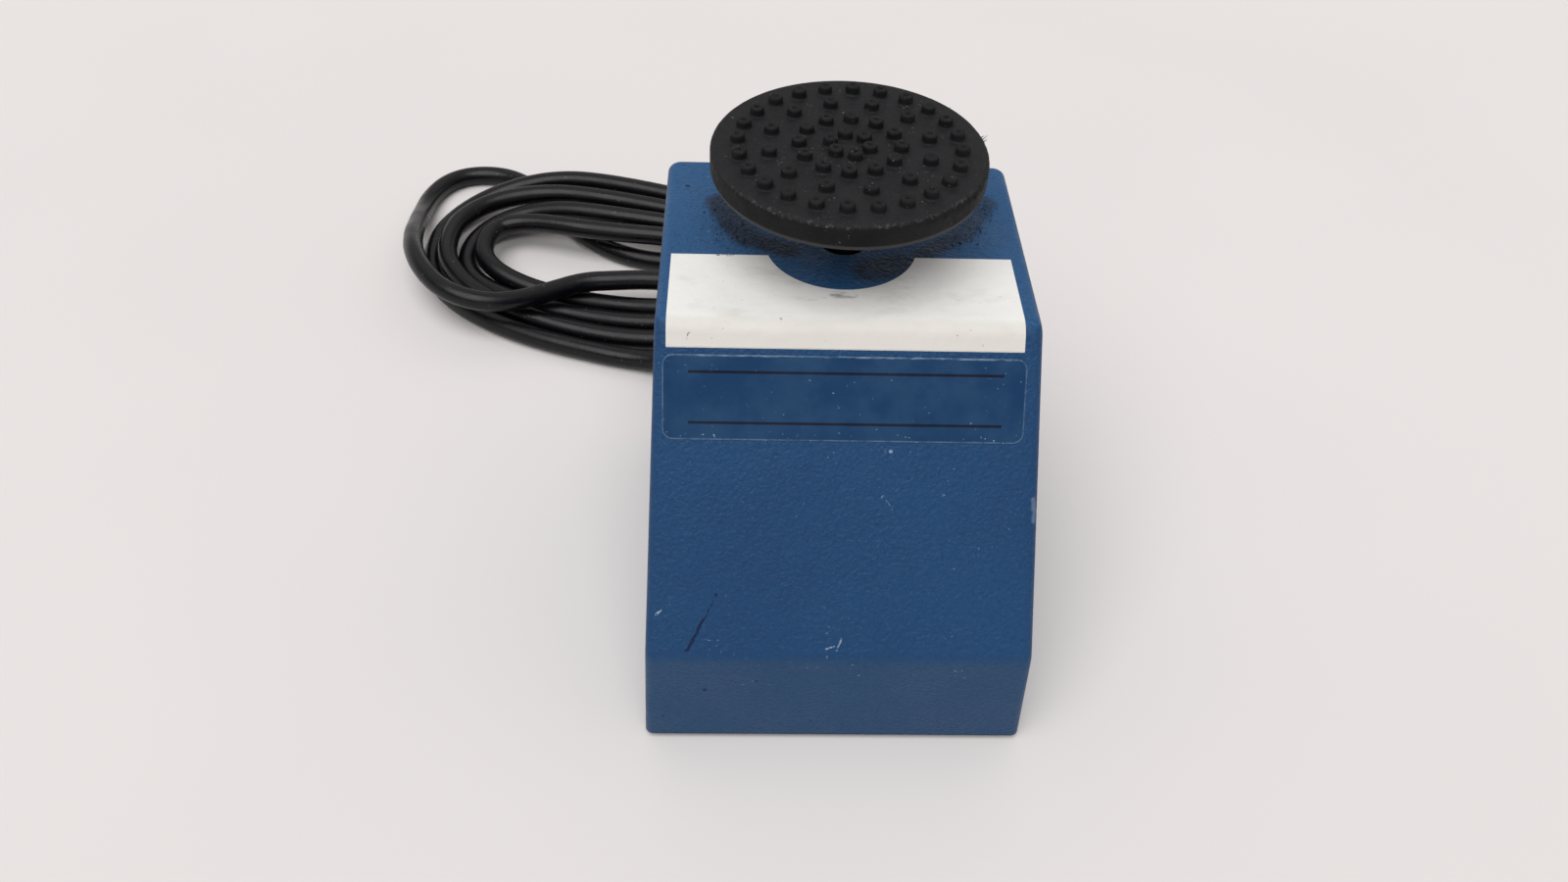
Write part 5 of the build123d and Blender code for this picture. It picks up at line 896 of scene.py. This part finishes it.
def soft_piece(name, node_name):
    """A copy of a node's own shape as a piece of its own, with the node's finish, in place of the node
    that it hides.
    """
    source = frame["nodes"][node_name]
    piece = bpy.data.objects.new(name, source.data.copy())
    piece.matrix_world = source.matrix_world.copy()
    piece.data.materials.clear()
    piece.data.materials.append(finishes[finish_of[node_name]])
    scene.collection.objects.link(piece)
    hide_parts(node_name)
    return piece


for name, node_name, seat_z in (
    ("spring_coils", "return_springs", SPRING_SEAT_Z),
    ("winding_leads", "motor_wires", LEAD_SEAT_Z),
):
    soft = soft_piece(name, node_name)
    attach(soft, "case")
    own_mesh(soft)
boot = soft_piece("boot_sleeve", "sealing_boot")
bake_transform(boot)

# ---- Floor, world and lamp ----
floor_mesh = bmesh.new()
bmesh.ops.create_grid(floor_mesh, x_segments=4, y_segments=4, size=4.0)
floor_data = bpy.data.meshes.new("floor")
floor_mesh.to_mesh(floor_data)
floor_mesh.free()
floor = bpy.data.objects.new("floor", floor_data)
scene.collection.objects.link(floor)
board = Shader("floor_board", tone(224, 220, 219), 0.85, specular=0.15)
cloud = board.step(board.noise(0.25, 2.0, 0.5, 1.0), 0.3, 0.7)
board.set("Base Color", board.mix(cloud, tone(225, 221, 220), tone(223, 219, 218)))
floor_data.materials.append(board.material)

SKY_LOW = 0.25
SKY_HORIZON = 0.14
SKY_ZENITH = 0.55
SKY_REAR = 0.40
LAMP_STRENGTH = 2.0
LAMP_SPREAD = radians(55)
LAMP_WAY = Vector((-0.22, -0.52, 1.15))
BAND_STRENGTH = 0.78
BAND_FULL = 0.15
BAND_END = 0.42
world = bpy.data.worlds.new("studio")
scene.world = world
world.use_nodes = True
sky = world.node_tree
background = sky.nodes["Background"]


def sky_ramp(value, low, high, result_low, result_high):
    """Smooth step of one part of the sky's direction."""
    node = sky.nodes.new("ShaderNodeMapRange")
    node.interpolation_type = "SMOOTHSTEP"
    sky.links.new(value, node.inputs["Value"])
    node.inputs["From Min"].default_value = low
    node.inputs["From Max"].default_value = high
    node.inputs["To Min"].default_value = result_low
    node.inputs["To Max"].default_value = result_high
    return node.outputs["Result"]


def sky_math(operation, first, second):
    """One sum, product or maximum in the sky's nodes."""
    node = sky.nodes.new("ShaderNodeMath")
    node.operation = operation
    sky.links.new(first, node.inputs[0])
    sky.links.new(second, node.inputs[1])
    return node.outputs[0]


direction = sky.nodes.new("ShaderNodeTexCoord").outputs["Generated"]
split = sky.nodes.new("ShaderNodeSeparateXYZ")
sky.links.new(direction, split.inputs[0])
overhead = sky_ramp(split.outputs["Z"], SKY_LOW, 0.85, SKY_HORIZON, SKY_ZENITH)
rear = sky_ramp(split.outputs["Y"], 0.1, 0.8, 0.0, SKY_REAR)
raised = sky_ramp(split.outputs["Z"], 0.35, 0.7, 0.0, 1.0)
dome = sky_math("ADD", overhead, sky_math("MULTIPLY", rear, raised))
band = sky_ramp(split.outputs["Z"], BAND_FULL, BAND_END, BAND_STRENGTH, 0.0)
background.inputs["Color"].default_value = (1.0, 0.985, 0.975, 1.0)
sky.links.new(sky_math("MAXIMUM", dome, band), background.inputs["Strength"])

lamp_data = bpy.data.lights.new("softbox", "SUN")
lamp_data.energy = LAMP_STRENGTH
lamp_data.angle = LAMP_SPREAD
lamp = bpy.data.objects.new("softbox", lamp_data)
lamp.rotation_euler = LAMP_WAY.to_track_quat("Z", "Y").to_euler()
scene.collection.objects.link(lamp)
